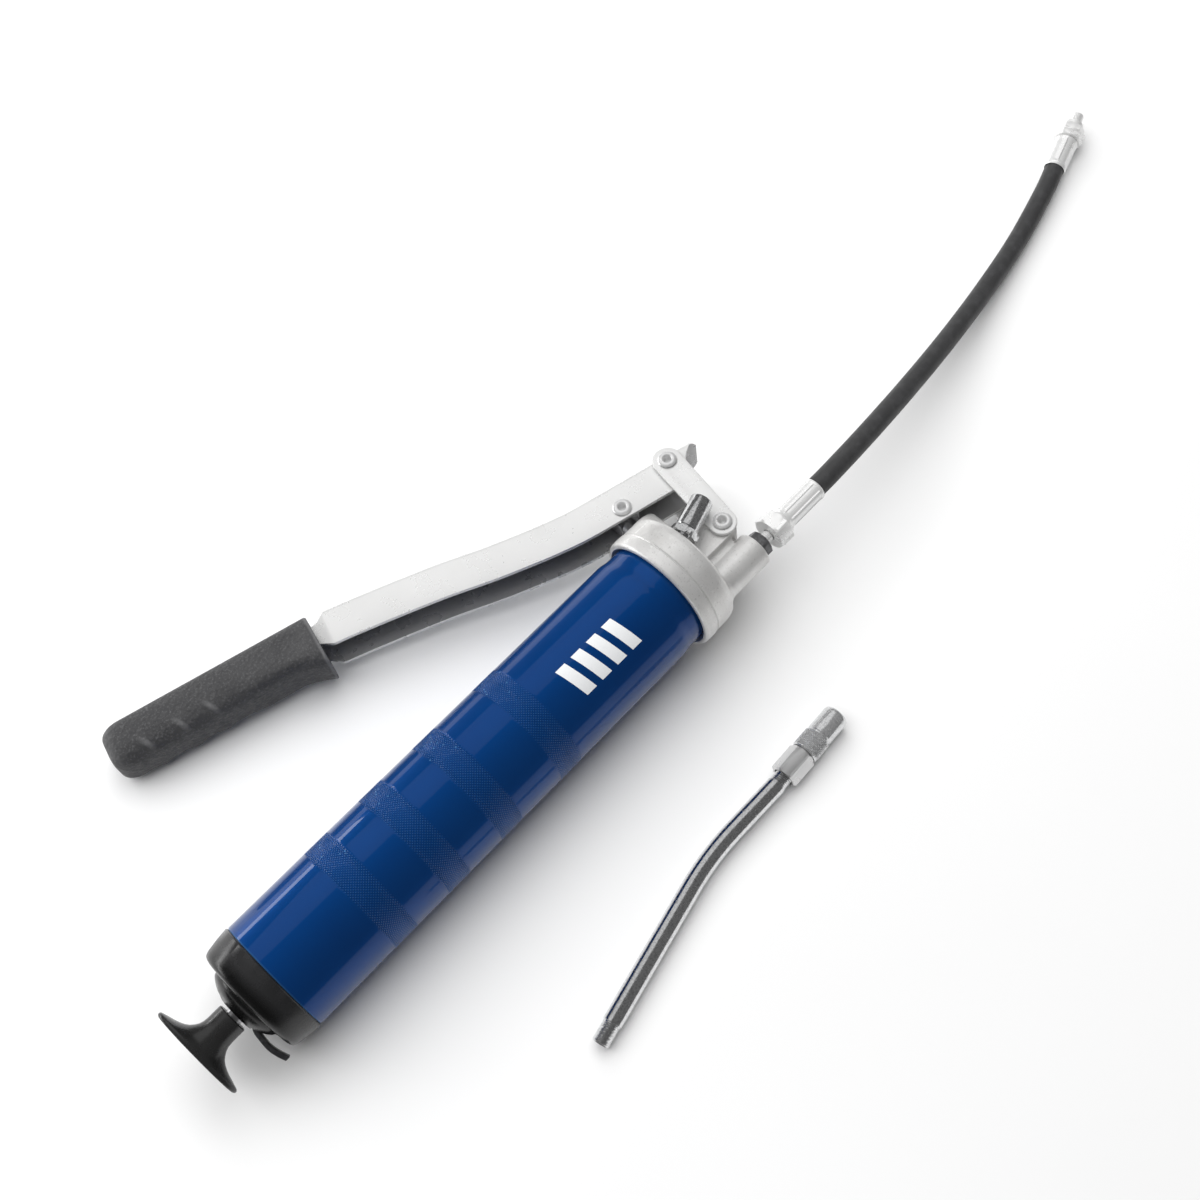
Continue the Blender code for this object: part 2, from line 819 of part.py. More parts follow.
def plunger():
    turn = X_TO_Y.copy()
    turn.translation = Vector((PUMP_X, 0, 0))
    body = lathe(
        "plunger",
        [(0.0012, 0), (0.0012, 0.0040), (0.0022, PUMP_BORE_R - 0.0002),
         (0.0385, PUMP_BORE_R - 0.0002), (0.0385, 0)],
        turn,
        28,
    )
    eye_low, eye_high = 0.0361, 0.0458
    eye = box(
        "plunger_eye", (PUMP_X - 0.0056, eye_low, -0.0046), (PUMP_X + 0.0066, eye_high, 0.0046)
    )
    add(body, eye)
    half = PIN_R + 0.0005
    y = PLUNGER_PIVOT.y
    slot = arc((PUMP_X + SLOT_OUT, y), half, -90, 90, 8)
    slot += arc((PUMP_X - SLOT_IN, y), half, 90, 270, 8)
    cut(body, prism("plunger_slot", slot, -0.02, 0.02))
    place(body, "steel", pivot=PLUNGER_PIVOT)


def plunger_seal():
    """Ring in the groove near the mouth of the pump bore."""
    turn = X_TO_Y.copy()
    turn.translation = Vector((PUMP_X, 0, 0))
    profile = []
    for i in range(8):
        a = 2 * math.pi * i / 8
        profile.append((0.0260 + 0.00040 * math.cos(a), 0.00531 + 0.00040 * math.sin(a)))
    place(lathe("plunger_seal", profile, turn, 20), "rubber")


# ---------------------------------------------------------------- hose


def hose_fitting():
    """Crimped end with a hex, screwed into the adapter on its own nipple."""
    axis = Matrix.Translation((0, OUTLET_Y, 0))
    nipple = lathe(
        "hose_nipple",
        [(0.2800, 0.0012)]
        + threaded(0.2800, 0.2925, 0.0028, 0.0018, 0.0003)
        + [(0.3200, 0.0024), (0.3200, 0.0012)],
        axis,
        20,
    )
    place(nipple, "zinc")
    body = lathe(
        "hose_ferrule",
        [
            (0.3020, 0),
            (0.3020, 0.0070),
            (0.3045, FERRULE_R - 0.0002),
            (HOSE_EXIT - 0.0010, FERRULE_R),
            (HOSE_EXIT, FERRULE_R - 0.0004),
            (HOSE_EXIT, 0),
        ],
        axis,
        36,
    )
    add(body, hexagon("ferrule_hex", 0.2940, 0.3025, 0.0093, axis))
    bore = lathe(
        "ferrule_bore",
        [(0.29, 0), (0.29, 0.0031), (0.3075, 0.0031), (0.3075, HOSE_R + GAP),
         (0.34, HOSE_R + GAP), (0.34, 0)],
        axis,
        28,
    )
    cut(body, bore)
    place(body, "zinc")


def hose_route():
    """The hose's centre line, from inside its first fitting to inside its last."""
    near = [GUN @ Vector((x, OUTLET_Y, 0)) for x in (0.3210, 0.3300, 0.3380)]
    rest = (
        (0.3675, -0.0164, 0.0323),
        (0.4067, -0.0126, 0.0253),
        (0.4475, -0.0073, 0.0170),
        (0.4878, -0.0009, 0.0103),
        (0.5264, 0.0064, 0.0066),
        (0.5615, 0.0152, 0.0064),
        (0.5778, 0.0203, 0.0072),
        (0.5856, 0.0228, 0.0077),
    )
    return near + [Vector(point) - ORIGIN for point in rest]


def hose():
    points = curve_through(hose_route(), 26)
    curve = bpy.data.curves.new("hose", "CURVE")
    curve.dimensions = "3D"
    curve.bevel_depth = HOSE_R
    curve.bevel_resolution = 4
    curve.use_fill_caps = True
    line = curve.splines.new("POLY")
    line.points.add(len(points) - 1)
    for spot, point in zip(line.points, points):
        spot.co = (point.x, point.y, point.z, 1)
    obj = bpy.data.objects.new("hose", curve)
    bpy.context.scene.collection.objects.link(obj)
    curve.materials.append(material_for("hose", "rubber"))


def far_fitting():
    """Crimped end with a collar nut and a male thread, on the free end of the hose."""
    route = hose_route()
    heading = (route[-1] - route[-2]).normalized()
    frame = Matrix.Translation(route[-2]) @ heading.to_track_quat("X", "Z").to_matrix().to_4x4()
    ferrule = lathe(
        "tip_ferrule",
        [
            (0.0, 0),
            (0.0, FERRULE_R - 0.0004),
            (0.0010, FERRULE_R),
            (0.0190, FERRULE_R + 0.0004),
            (0.0200, FERRULE_R - 0.0010),
            (0.0200, 0),
        ],
        sides=36,
    )
    bore = lathe(
        "tip_ferrule_bore",
        [(-0.01, 0), (-0.01, HOSE_R + 0.0004), (0.0095, HOSE_R + 0.0004), (0.0095, 0.0031),
         (0.03, 0.0031), (0.03, 0)],
        sides=28,
    )
    cut(ferrule, bore)
    place(ferrule, "zinc", frame=frame)
    nut = hexagon("tip_nut", 0.0203, 0.0283, 0.0081, Matrix.Identity(4))
    nut_bore = lathe(
        "tip_nut_bore", [(0.01, 0), (0.01, 0.0031), (0.04, 0.0031), (0.04, 0)], sides=20
    )
    cut(nut, nut_bore)
    place(nut, "zinc", frame=frame)
    tip = lathe(
        "tip_thread",
        [(0.0110, 0.0012), (0.0110, 0.0028), (0.0286, 0.0028), (0.0286, 0.0052), (0.0322, 0.0052)]
        + threaded(0.0326, 0.0384, 0.0034, 0.0018)
        + [(0.0390, 0.0026), (0.0390, 0.0012)],
        sides=20,
    )
    place(tip, "zinc", frame=frame)


# ---------------------------------------------------------------- rigid pipe and coupler


def coupler_frame():
    return TABLE @ Matrix.Translation(COUPLER_START) @ Matrix.Rotation(COUPLER_HEADING, 4, "Z")


def extension_pipe():
    heading = Vector((math.cos(COUPLER_HEADING), math.sin(COUPLER_HEADING), 0))
    inside = COUPLER_START + heading * 0.0070
    away = (PIPE_END - PIPE_BEND).normalized()
    back = (COUPLER_START - PIPE_BEND).normalized()
    line = [PIPE_END, PIPE_END - away * 0.0105, PIPE_BEND + away * 0.016, PIPE_BEND + away * 0.008]
    line += [PIPE_BEND + (away + back) * 0.0017, PIPE_BEND + back * 0.008, PIPE_BEND + back * 0.016]
    line += [COUPLER_START - heading * 0.0015, inside]
    sections = []
    for i, centre in enumerate(line):
        ahead = (line[min(i + 1, len(line) - 1)] - line[max(i - 1, 0)]).normalized()
        side = Vector((-ahead.y, ahead.x, 0)).normalized()
        up = ahead.cross(side)
        r = PIPE_R if 0 < i < len(line) - 2 else PIPE_R - 0.0004
        loop = []
        for k in range(28):
            a = 2 * math.pi * k / 28
            loop.append(centre + r * (math.cos(a) * side + math.sin(a) * up))
        sections.append(loop)
    pipe = loft("extension_pipe", sections)
    for name, start, end in (
        ("pipe_bore_a", PIPE_END + away * 0.005, PIPE_BEND),
        ("pipe_bore_b", PIPE_BEND, inside + heading * 0.005),
    ):
        cut(pipe, rod_between(name, start, end, 0.0019, 14))
    place(pipe, "chrome", frame=TABLE)


def coupler():
    frame = coupler_frame()
    body = hexagon("coupler_body", 0.0, 0.0146, 0.0070, Matrix.Rotation(math.radians(30), 4, "X"))
    spigot = lathe(
        "coupler_spigot", [(0.0140, 0), (0.0140, 0.0050), (0.0230, 0.0050), (0.0230, 0)], sides=28
    )
    add(body, spigot)
    bore = lathe(
        "coupler_bore",
        [(-0.01, 0), (-0.01, PIPE_R + GAP), (0.0085, PIPE_R + GAP), (0.0085, 0.0020),
         (0.0150, 0.0020), (0.0150, 0.0040), (0.03, 0.0040), (0.03, 0)],
        sides=28,
    )
    cut(body, bore)
    place(body, "zinc", frame=frame)
    sleeve = lathe(
        "coupler_sleeve",
        [
            (0.0150, 0.0053),
            (0.0150, COUPLER_R),
            (0.0250, COUPLER_R),
            (0.0253, 0.0063),
            (0.0385, 0.0063),
            (0.0397, 0.0057),
            (0.0397, 0.0037),
            (0.0378, 0.0037),
            (0.0355, 0.0053),
        ],
        sides=32,
    )
    place(sleeve, "chrome", frame=frame)
    seal = [(0.0236, 0.0010), (0.0236, 0.0038), (0.0262, 0.0038), (0.0262, 0.0010)]
    place(lathe("coupler_seal", seal, sides=24), "rubber", frame=frame)
    jaws = [
        (0.0265, 0.0034),
        (0.0265, 0.0049),
        (0.0349, 0.0049),
        (0.0368, 0.0040),
        (0.0368, 0.0033),
        (0.0350, 0.0031),
    ]
    place(lathe("coupler_jaws", jaws, sides=24), "steel", frame=frame)
    spring = coil("coupler_spring", 0.0160, 0.0228, 0.0028, 0.0004, 3, 4, 10)
    place(spring, "steel", frame=frame)


def main():
    clear_scene()
    barrel()
    end_cap()
    rod_latch()
    tee_handle()
    follower_rod()
    follower_stack()
    follower_spring()
    head_casting()
    head_gasket()
    outlet_check()
    outlet_adapter()
    filler_nipple()
    link()
    lever_channel()
    grip()
    plunger()
    plunger_seal()
    hose_fitting()
    hose()
    far_fitting()
    extension_pipe()
    coupler()


main()
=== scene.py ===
"""Looks of the lever grease gun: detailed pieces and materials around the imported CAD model."""

import json
import math

import bmesh
import bpy
from mathutils import Matrix, Vector


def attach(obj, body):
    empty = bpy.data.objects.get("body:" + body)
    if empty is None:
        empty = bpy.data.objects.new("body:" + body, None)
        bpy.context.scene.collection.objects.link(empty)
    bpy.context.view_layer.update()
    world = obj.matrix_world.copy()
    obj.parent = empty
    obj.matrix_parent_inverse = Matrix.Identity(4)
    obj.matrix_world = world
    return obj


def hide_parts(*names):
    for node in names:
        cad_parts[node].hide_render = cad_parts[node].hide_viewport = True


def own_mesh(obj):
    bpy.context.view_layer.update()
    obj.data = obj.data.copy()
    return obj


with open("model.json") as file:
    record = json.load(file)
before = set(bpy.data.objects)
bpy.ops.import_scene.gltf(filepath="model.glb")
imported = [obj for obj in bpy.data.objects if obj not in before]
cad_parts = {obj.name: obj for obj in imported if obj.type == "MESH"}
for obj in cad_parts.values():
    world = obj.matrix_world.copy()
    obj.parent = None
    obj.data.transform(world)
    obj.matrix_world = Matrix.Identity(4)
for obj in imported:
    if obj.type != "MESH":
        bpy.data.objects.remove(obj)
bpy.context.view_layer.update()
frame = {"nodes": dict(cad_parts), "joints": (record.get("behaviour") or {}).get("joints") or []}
nodes = frame["nodes"]
joints = {joint["name"]: joint for joint in frame["joints"]}

# ---------------------------------------------------------------- frames

# The gun's own axes: x along the barrel to the outlet, y towards the lever, z across the lever.
# Its origin is on the barrel's axis at the end cap. The joints say where it lies.
LINK_PIVOT = Vector((0.2798, -0.0022, 0.0))
LEVER_PIVOT = Vector((0.2882, 0.0399, 0.0))
PLUNGER_PIVOT = Vector((0.2561, 0.0394, 0.0))


def frame_of(x, y, z, origin):
    columns = [Vector(axis).normalized() for axis in (x, y, z)]
    matrix = Matrix(columns).transposed().to_4x4()
    matrix.translation = origin
    return matrix


def gun_frame():
    x = -Vector(joints["follower_pull"]["axis"])
    y = Vector(joints["plunger_stroke"]["axis"])
    z = -Vector(joints["lever_swing"]["axis"])
    pivot = Vector(joints["link_swing"]["pos_m"])
    return frame_of(x, y, z, pivot - x * LINK_PIVOT.x - y * LINK_PIVOT.y)


GUN = gun_frame()
TAIL = GUN @ Matrix.Rotation(math.radians(22.5), 4, "X")
ROW = Matrix.Identity(4)
X_TO_Z = Matrix.Rotation(math.radians(-90), 4, "Y")
X_TO_Y = Matrix.Rotation(math.radians(90), 4, "Z")

OUTLET_Y = -0.0180
OUTLET = GUN @ Matrix.Translation((0, OUTLET_Y, 0))

# ---------------------------------------------------------------- camera


def camera():
    """The camera that took the photograph, as fitted to the gun and the table."""
    data = bpy.data.cameras.new("camera")
    data.sensor_width = 36.0
    data.lens = 45.95
    data.clip_start = 0.01
    obj = bpy.data.objects.new("camera", data)
    right = Vector((0.68661, -0.72698, -0.00859))
    down = Vector((-0.66825, -0.62641, -0.40131))
    ahead = Vector((0.28636, 0.28128, -0.91590))
    obj.matrix_world = frame_of(right, -down, -ahead, Vector((-0.12679, -0.19084, 0.67640)))
    bpy.context.scene.collection.objects.link(obj)
    bpy.context.scene.camera = obj


camera()

# ---------------------------------------------------------------- shapes


def curve_through(points, count):
    """Evenly stepped points of a smooth curve through the given ones."""
    ends = [points[0] * 2 - points[1]] + points + [points[-1] * 2 - points[-2]]
    fine = []
    for a, b, c, d in zip(ends, ends[1:], ends[2:], ends[3:]):
        for k in range(16):
            t = k / 16
            fine.append(
                0.5 * ((2 * b) + (c - a) * t + (2 * a - 5 * b + 4 * c - d) * t * t
                       + (3 * b - a - 3 * c + d) * t ** 3)
            )
    fine.append(points[-1])
    reach = [0.0]
    for a, b in zip(fine, fine[1:]):
        reach.append(reach[-1] + (b - a).length)
    result = []
    for i in range(count):
        want = reach[-1] * i / (count - 1)
        k = max(j for j in range(len(reach) - 1) if reach[j] <= want)
        share = (want - reach[k]) / (reach[k + 1] - reach[k])
        result.append(fine[k].lerp(fine[k + 1], share))
    return result


def all_round(count):
    """That many equally spaced angles, right round."""
    return [2 * math.pi * i / count for i in range(count)]


def mesh_object(name, bm):
    bmesh.ops.recalc_face_normals(bm, faces=bm.faces)
    mesh = bpy.data.meshes.new(name)
    bm.to_mesh(mesh)
    bm.free()
    obj = bpy.data.objects.new(name, mesh)
    bpy.context.scene.collection.objects.link(obj)
    return obj


def loft(name, sections):
    """Closed skin through equal loops of points, with flat ends."""
    bm = bmesh.new()
    rings = [[bm.verts.new(point) for point in section] for section in sections]
    for a, b in zip(rings, rings[1:]):
        for i in range(len(a)):
            j = (i + 1) % len(a)
            bm.faces.new((a[i], a[j], b[j], b[i]))
    bm.faces.new(rings[0])
    bm.faces.new(rings[-1])
    return mesh_object(name, bm)


def fine(profile, step, low=-1.0, high=1.0):
    """The same (x, r) outline with points no further apart than step between low and high."""
    result = [profile[0]]
    for (xa, ra), (xb, rb) in zip(profile, profile[1:]):
        inside = low - 1e-6 <= min(xa, xb) and max(xa, xb) <= high + 1e-6
        length = math.hypot(xb - xa, rb - ra)
        count = max(1, round(length / step)) if inside else 1
        for i in range(1, count + 1):
            result.append((xa + (xb - xa) * i / count, ra + (rb - ra) * i / count))
    return result


def turned(name, profile, sides=96, shape=None):
    """Outline (x, r) turned about X; shape(x, r, angle) gives the radius where it isn't round."""
    bm = bmesh.new()
    rings = []
    for x, r in profile:
        if r < 1e-9:
            rings.append([bm.verts.new((x, 0, 0))])
            continue
        ring = []
        for a in all_round(sides):
            here = shape(x, r, a) if shape else r
            ring.append(bm.verts.new((x, here * math.cos(a), here * math.sin(a))))
        rings.append(ring)
    pairs = list(zip(rings, rings[1:]))
    if len(rings[0]) > 1 and len(rings[-1]) > 1:
        pairs.append((rings[-1], rings[0]))
    for a, b in pairs:
        for i in range(sides):
            j = (i + 1) % sides
            if len(a) == 1:
                bm.faces.new((a[0], b[j], b[i]))
            elif len(b) == 1:
                bm.faces.new((a[i], a[j], b[0]))
            else:
                bm.faces.new((a[i], a[j], b[j], b[i]))
    return mesh_object(name, bm)


def thread_profile(turn):
    """How deep a thread's rounded groove is, from 0 to 1, at that share of a turn."""
    return 1 - abs(2 * turn - 1) ** 0.8


def thread(start, stop, pitch, depth):
    """Shape of a screw thread cut into a round bar between two places."""
    def shape(x, r, a):
        if not start <= x <= stop:
            return r
        turn = (x / pitch - a / (2 * math.pi)) % 1.0
        ease = min(1.0, (x - start) / pitch, (stop - x) / pitch)
        return r - depth * ease * thread_profile(turn)
    return shape


def hex_shape(low, high, corner):
    """Shape of a hexagon between two places, corner being half its width across corners."""
    sector = math.pi / 3
    flat = corner * math.cos(math.pi / 6)
    def shape(x, r, a):
        if not low <= x <= high:
            return r
        return min(r, flat / math.cos(a % sector - sector / 2))
    return shape


def crimps(low, high, count, depth):
    """Shape of a crimped sleeve: flats pressed in, with a ridge left between each two."""
    def shape(x, r, a):
        if not low <= x <= high:
            return r
        ease = min(1.0, (x - low) / 0.0012, (high - x) / 0.0012)
        across = abs((a * count / (2 * math.pi)) % 1.0 - 0.5) * 2
        return r - depth * ease * min(1.0, (1 - across) * 5)
    return shape


def knurl(low, high, radius, around, depth, ease_over=0.0008):
    """Shape of a diamond knurl, with that many diamonds round the bar."""
    pitch = 2 * math.pi * radius / around
    def shape(x, r, a):
        if not low <= x <= high:
            return r
        ease = min(1.0, (x - low) / ease_over, (high - x) / ease_over)
        u = (a * around / (2 * math.pi) + x / pitch) % 1.0
        v = (a * around / (2 * math.pi) - x / pitch) % 1.0
        tooth = min(1 - abs(2 * u - 1), 1 - abs(2 * v - 1))
        return r - depth * ease * (1.0 - min(1.0, tooth * 1.6))
    return shape


def in_turn(*shapes, least=0.0):
    """Several shapes, each working on what the one before leaves, where the radius is over least."""
    def shape(x, r, a):
        if r > least:
            for part in shapes:
                r = part(x, r, a)
        return r
    return shape


def arc(centre, radius, start, stop, steps):
    """Points of an arc in the xy plane, angles in degrees."""
    angles = [math.radians(start + (stop - start) * i / steps) for i in range(steps + 1)]
    return [(centre[0] + radius * math.cos(a), centre[1] + radius * math.sin(a)) for a in angles]


def prism(name, outline, low, high):
    return loft(name, [[Vector((x, y, z)) for x, y in outline] for z in (low, high)])


def block(name, low, high):
    """Box between two corners."""
    (xa, ya, za), (xb, yb, zb) = low, high
    return prism(name, [(xa, ya), (xb, ya), (xb, yb), (xa, yb)], za, zb)


def cylinder(name, low, high, radius, sides=48):
    return turned(name, [(low, 0), (low, radius), (high, radius), (high, 0)], sides)


def pointed(place, along):
    """Frame at a place, with its x axis along the given direction."""
    return Matrix.Translation(place) @ along.to_track_quat("X", "Z").to_matrix().to_4x4()


def rod(name, start, end, radius, sides=48):
    obj = cylinder(name, 0, (end - start).length, radius, sides)
    obj.data.transform(pointed(start, (end - start).normalized()))
    return obj


def applied(obj):
    """The object with its modifiers made part of its mesh."""
    bpy.context.view_layer.update()
    graph = bpy.context.evaluated_depsgraph_get()
    mesh = bpy.data.meshes.new_from_object(obj.evaluated_get(graph))
    obj.modifiers.clear()
    old = obj.data
    obj.data = mesh
    mesh.name = obj.name
    bpy.data.meshes.remove(old)
    return obj


def combine(obj, tools, operation):
    for tool in tools:
        modifier = obj.modifiers.new("shape", "BOOLEAN")
        modifier.operation = operation
        modifier.object = tool
        modifier.solver = "EXACT"
        applied(obj)
        bpy.data.objects.remove(tool)


def cut(obj, *tools):
    combine(obj, tools, "DIFFERENCE")


def add(obj, *tools):
    combine(obj, tools, "UNION")


def soften(obj, width, segments=3, angle=32):
    """Rounds the sharp edges."""
    modifier = obj.modifiers.new("edges", "BEVEL")
    modifier.width = width
    modifier.segments = segments
    modifier.limit_method = "ANGLE"
    modifier.angle_limit = math.radians(angle)
    modifier.use_clamp_overlap = True
    return applied(obj)


def as_cast(obj, voxel, rounds):
    """One skin with small fillets everywhere, as a casting has."""
    remesh = obj.modifiers.new("skin", "REMESH")
    remesh.mode = "VOXEL"
    remesh.voxel_size = voxel
    smooth = obj.modifiers.new("smooth", "SMOOTH")
    smooth.iterations = rounds
    smooth.factor = 0.5
    applied(obj)


def finish(obj, material, body, node=None, place=GUN, sharp=35):
    """Lays the piece in its place, gives it its material and lets it ride on its body."""
    obj.data.transform(place)
    obj.data.update()
    obj.data.shade_smooth()
    obj.data.set_sharp_from_angle(angle=math.radians(sharp))
    obj.data.materials.clear()
    obj.data.materials.append(material)
    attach(obj, body)
    if node:
        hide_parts(node)


# ---------------------------------------------------------------- materials


class Look:
    """A Principled material with a few procedural layers on it."""

    def __init__(self, name, colour, metallic, roughness, **settings):
        self.material = bpy.data.materials.new(name)
        self.material.use_nodes = True
        self.tree = self.material.node_tree
        self.shader = self.tree.nodes["Principled BSDF"]
        self.colour = (*colour, 1)
        self.shader.inputs["Base Color"].default_value = self.colour
        self.shader.inputs["Metallic"].default_value = metallic
        self.shader.inputs["Roughness"].default_value = roughness
        for key, value in settings.items():
            self.shader.inputs[key.replace("_", " ")].default_value = value
        self.place = self.tree.nodes.new("ShaderNodeTexCoord").outputs["Object"]
        self.bumps = None
        self.tint = None

    def stretched(self, scale):
        mapping = self.tree.nodes.new("ShaderNodeMapping")
        mapping.inputs["Scale"].default_value = scale
        self.tree.links.new(self.place, mapping.inputs["Vector"])
        return mapping.outputs["Vector"]

    def noise(self, scale, detail=4.0, rough=0.55, place=None):
        node = self.tree.nodes.new("ShaderNodeTexNoise")
        node.inputs["Scale"].default_value = scale
        node.inputs["Detail"].default_value = detail
        node.inputs["Roughness"].default_value = rough
        self.tree.links.new(place or self.place, node.inputs["Vector"])
        return node.outputs["Fac"]

    def cells(self, scale):
        node = self.tree.nodes.new("ShaderNodeTexVoronoi")
        node.feature = "SMOOTH_F1"
        node.inputs["Scale"].default_value = scale
        self.tree.links.new(self.place, node.inputs["Vector"])
        return node.outputs["Distance"]

    # How convex the surface is there: a mask that is high on crests and sharp edges and low in hollows.
    def convexity(self):
        node = self.tree.nodes.new("ShaderNodeNewGeometry")
        return node.outputs["Pointiness"]

    def ramp(self, value, low, high, out_low=0.0, out_high=1.0):
        node = self.tree.nodes.new("ShaderNodeMapRange")
        node.inputs["From Min"].default_value = low
        node.inputs["From Max"].default_value = high
        node.inputs["To Min"].default_value = out_low
        node.inputs["To Max"].default_value = out_high
        self.tree.links.new(value, node.inputs["Value"])
        return node.outputs["Result"]

    def paint(self, mask, colour):
        """Blends another colour in where the mask is 1."""
        node = self.tree.nodes.new("ShaderNodeMix")
        node.data_type = "RGBA"
        self.tree.links.new(mask, node.inputs["Factor"])
        if self.tint is None:
            node.inputs["A"].default_value = self.colour
        else:
            self.tree.links.new(self.tint, node.inputs["A"])
        node.inputs["B"].default_value = (*colour, 1)
        self.tint = node.outputs["Result"]
        self.tree.links.new(self.tint, self.shader.inputs["Base Color"])

    def roughen(self, value, low, high, rough_low, rough_high):
        result = self.ramp(value, low, high, rough_low, rough_high)
        self.tree.links.new(result, self.shader.inputs["Roughness"])

    def bump(self, height, distance, strength=1.0):
        node = self.tree.nodes.new("ShaderNodeBump")
        node.inputs["Distance"].default_value = distance
        node.inputs["Strength"].default_value = strength
        self.tree.links.new(height, node.inputs["Height"])
        if self.bumps is not None:
            self.tree.links.new(self.bumps, node.inputs["Normal"])
        self.bumps = node.outputs["Normal"]
        self.tree.links.new(self.bumps, self.shader.inputs["Normal"])


def blue_paint():
    look = Look("blue_paint", (0.001, 0.046, 0.200), 0.45, 0.36, Specular_IOR_Level=0.0,
                Coat_Weight=0.85, Coat_Roughness=0.03, Coat_IOR=1.34)
    look.paint(look.ramp(look.noise(14, 3), 0.35, 0.7), (0.001, 0.039, 0.178))
    look.paint(look.ramp(look.noise(2600, 2), 0.66, 0.8, 0.0, 0.25), (0.01, 0.08, 0.28))
    look.roughen(look.noise(60, 5), 0.3, 0.7, 0.30, 0.42)
    # Painted highlight: lighter blue on the knurl's diamond crests and on other sharp convex edges.
    look.paint(look.ramp(look.convexity(), 0.515, 0.60, 0.0, 0.9), (0.06, 0.19, 0.40))
    look.bump(look.noise(420, 2), 0.00006, 0.2)
    return look.material


def cast_alloy():
    look = Look("cast_alloy", (0.78, 0.775, 0.765), 0.58, 0.40)
    look.paint(look.ramp(look.noise(45, 5), 0.42, 0.72, 0.0, 0.6), (0.60, 0.59, 0.575))
    look.paint(look.ramp(look.noise(300, 4), 0.55, 0.75, 0.0, 0.6), (0.86, 0.855, 0.845))
    look.paint(look.ramp(look.noise(900, 3), 0.60, 0.78, 0.0, 0.6), (0.40, 0.385, 0.37))
    look.paint(look.ramp(look.convexity(), 0.505, 0.56, 0.0, 0.7), (0.90, 0.90, 0.89))
    look.roughen(look.noise(130, 5), 0.3, 0.7, 0.34, 0.52)
    look.bump(look.noise(1300, 4), 0.00014, 0.6)
    look.bump(look.noise(160, 3), 0.0005, 0.3)
    return look.material


def zinc(name="zinc", metallic=0.45, colour=(0.92, 0.92, 0.915)):
    dull = tuple(0.93 * c for c in colour)
    look = Look(name, colour, metallic, 0.26)
    look.paint(look.ramp(look.noise(40, 5), 0.35, 0.85), dull)
    look.roughen(look.noise(90, 5), 0.3, 0.7, 0.24, 0.34)
    look.bump(look.noise(900, 3), 0.00004, 0.05)
    return look.material


def chrome(name="chrome", metallic=1.0):
    look = Look(name, (0.78, 0.785, 0.79), metallic, 0.14)
    look.paint(look.ramp(look.noise(1100, 3), 0.45, 0.68, 0.0, 0.6), (0.42, 0.42, 0.43))
    look.roughen(look.noise(700, 5), 0.35, 0.7, 0.08, 0.30)
    look.bump(look.noise(1300, 3), 0.00006, 0.35)
    return look.material


def steel():
    look = Look("steel", (0.50, 0.50, 0.51), 1.0, 0.32)
    along = look.stretched((60, 700, 700))
    look.paint(look.ramp(look.noise(1, 4, 0.6, along), 0.4, 0.75, 0.0, 0.5), (0.36, 0.36, 0.37))
    look.roughen(look.noise(90, 5), 0.3, 0.7, 0.24, 0.42)
    look.bump(look.noise(1, 4, 0.6, along), 0.00003, 0.5)
    return look.material


def dark_steel():
    look = Look("dark_steel", (0.16, 0.16, 0.165), 1.0, 0.36)
    look.paint(look.ramp(look.noise(500, 4), 0.45, 0.7, 0.0, 0.6), (0.30, 0.30, 0.31))
    look.roughen(look.noise(220, 5), 0.3, 0.7, 0.28, 0.48)
    look.bump(look.noise(1100, 3), 0.00005, 0.4)
    return look.material


def black_plastic(name, grey, gloss):
    look = Look(name, (grey, grey, grey), 0.0, 0.24, Specular_IOR_Level=gloss)
    worn = grey + 0.002
    look.paint(look.ramp(look.noise(30, 4), 0.4, 0.7), (worn, worn, worn))
    look.paint(look.ramp(look.convexity(), 0.52, 0.60, 0.0, 0.4), (0.04, 0.04, 0.042))
    look.roughen(look.noise(180, 6), 0.3, 0.7, 0.20, 0.34)
    look.bump(look.noise(700, 3), 0.00006, 0.35)
    look.bump(look.noise(60, 2), 0.0004, 0.12)
    return look.material


def grip_vinyl():
    look = Look("grip_vinyl", (0.046, 0.046, 0.048), 0.0, 0.58, Specular_IOR_Level=0.5)
    look.paint(look.ramp(look.noise(1100, 3), 0.52, 0.72, 0.0, 0.9), (0.100, 0.100, 0.103))
    look.paint(look.ramp(look.noise(28, 4), 0.45, 0.75, 0.0, 0.5), (0.066, 0.066, 0.068))
    # Painted highlight on the finger ridges' crests and sharp edges, and painted shade in the hollows
    # between the ridges.
    look.paint(look.ramp(look.convexity(), 0.510, 0.535, 0.0, 0.8), (0.160, 0.160, 0.164))
    look.paint(look.ramp(look.convexity(), 0.465, 0.490, 0.8, 0.0), (0.020, 0.020, 0.021))
    look.roughen(look.noise(300, 4), 0.3, 0.7, 0.48, 0.70)
    look.bump(look.cells(620), 0.00055, 0.7)
    look.bump(look.noise(1500, 3), 0.0002, 0.5)
    return look.material


def rubber():
    look = Look("rubber", (0.040, 0.040, 0.041), 0.0, 0.55, Specular_IOR_Level=0.45)
    look.paint(look.ramp(look.noise(240, 5), 0.45, 0.7, 0.0, 0.7), (0.062, 0.062, 0.064))
    look.roughen(look.noise(120, 5), 0.3, 0.7, 0.44, 0.62)
    look.bump(look.noise(900, 3), 0.0001, 0.5)
    return look.material


def white_print():
    look = Look("white_print", (0.80, 0.81, 0.82), 0.0, 0.35, Coat_Weight=0.3, Coat_Roughness=0.1)
    look.paint(look.ramp(look.noise(700, 4), 0.55, 0.75, 0.0, 0.35), (0.66, 0.68, 0.72))
    look.bump(look.noise(900, 2), 0.00004, 0.3)
    return look.material


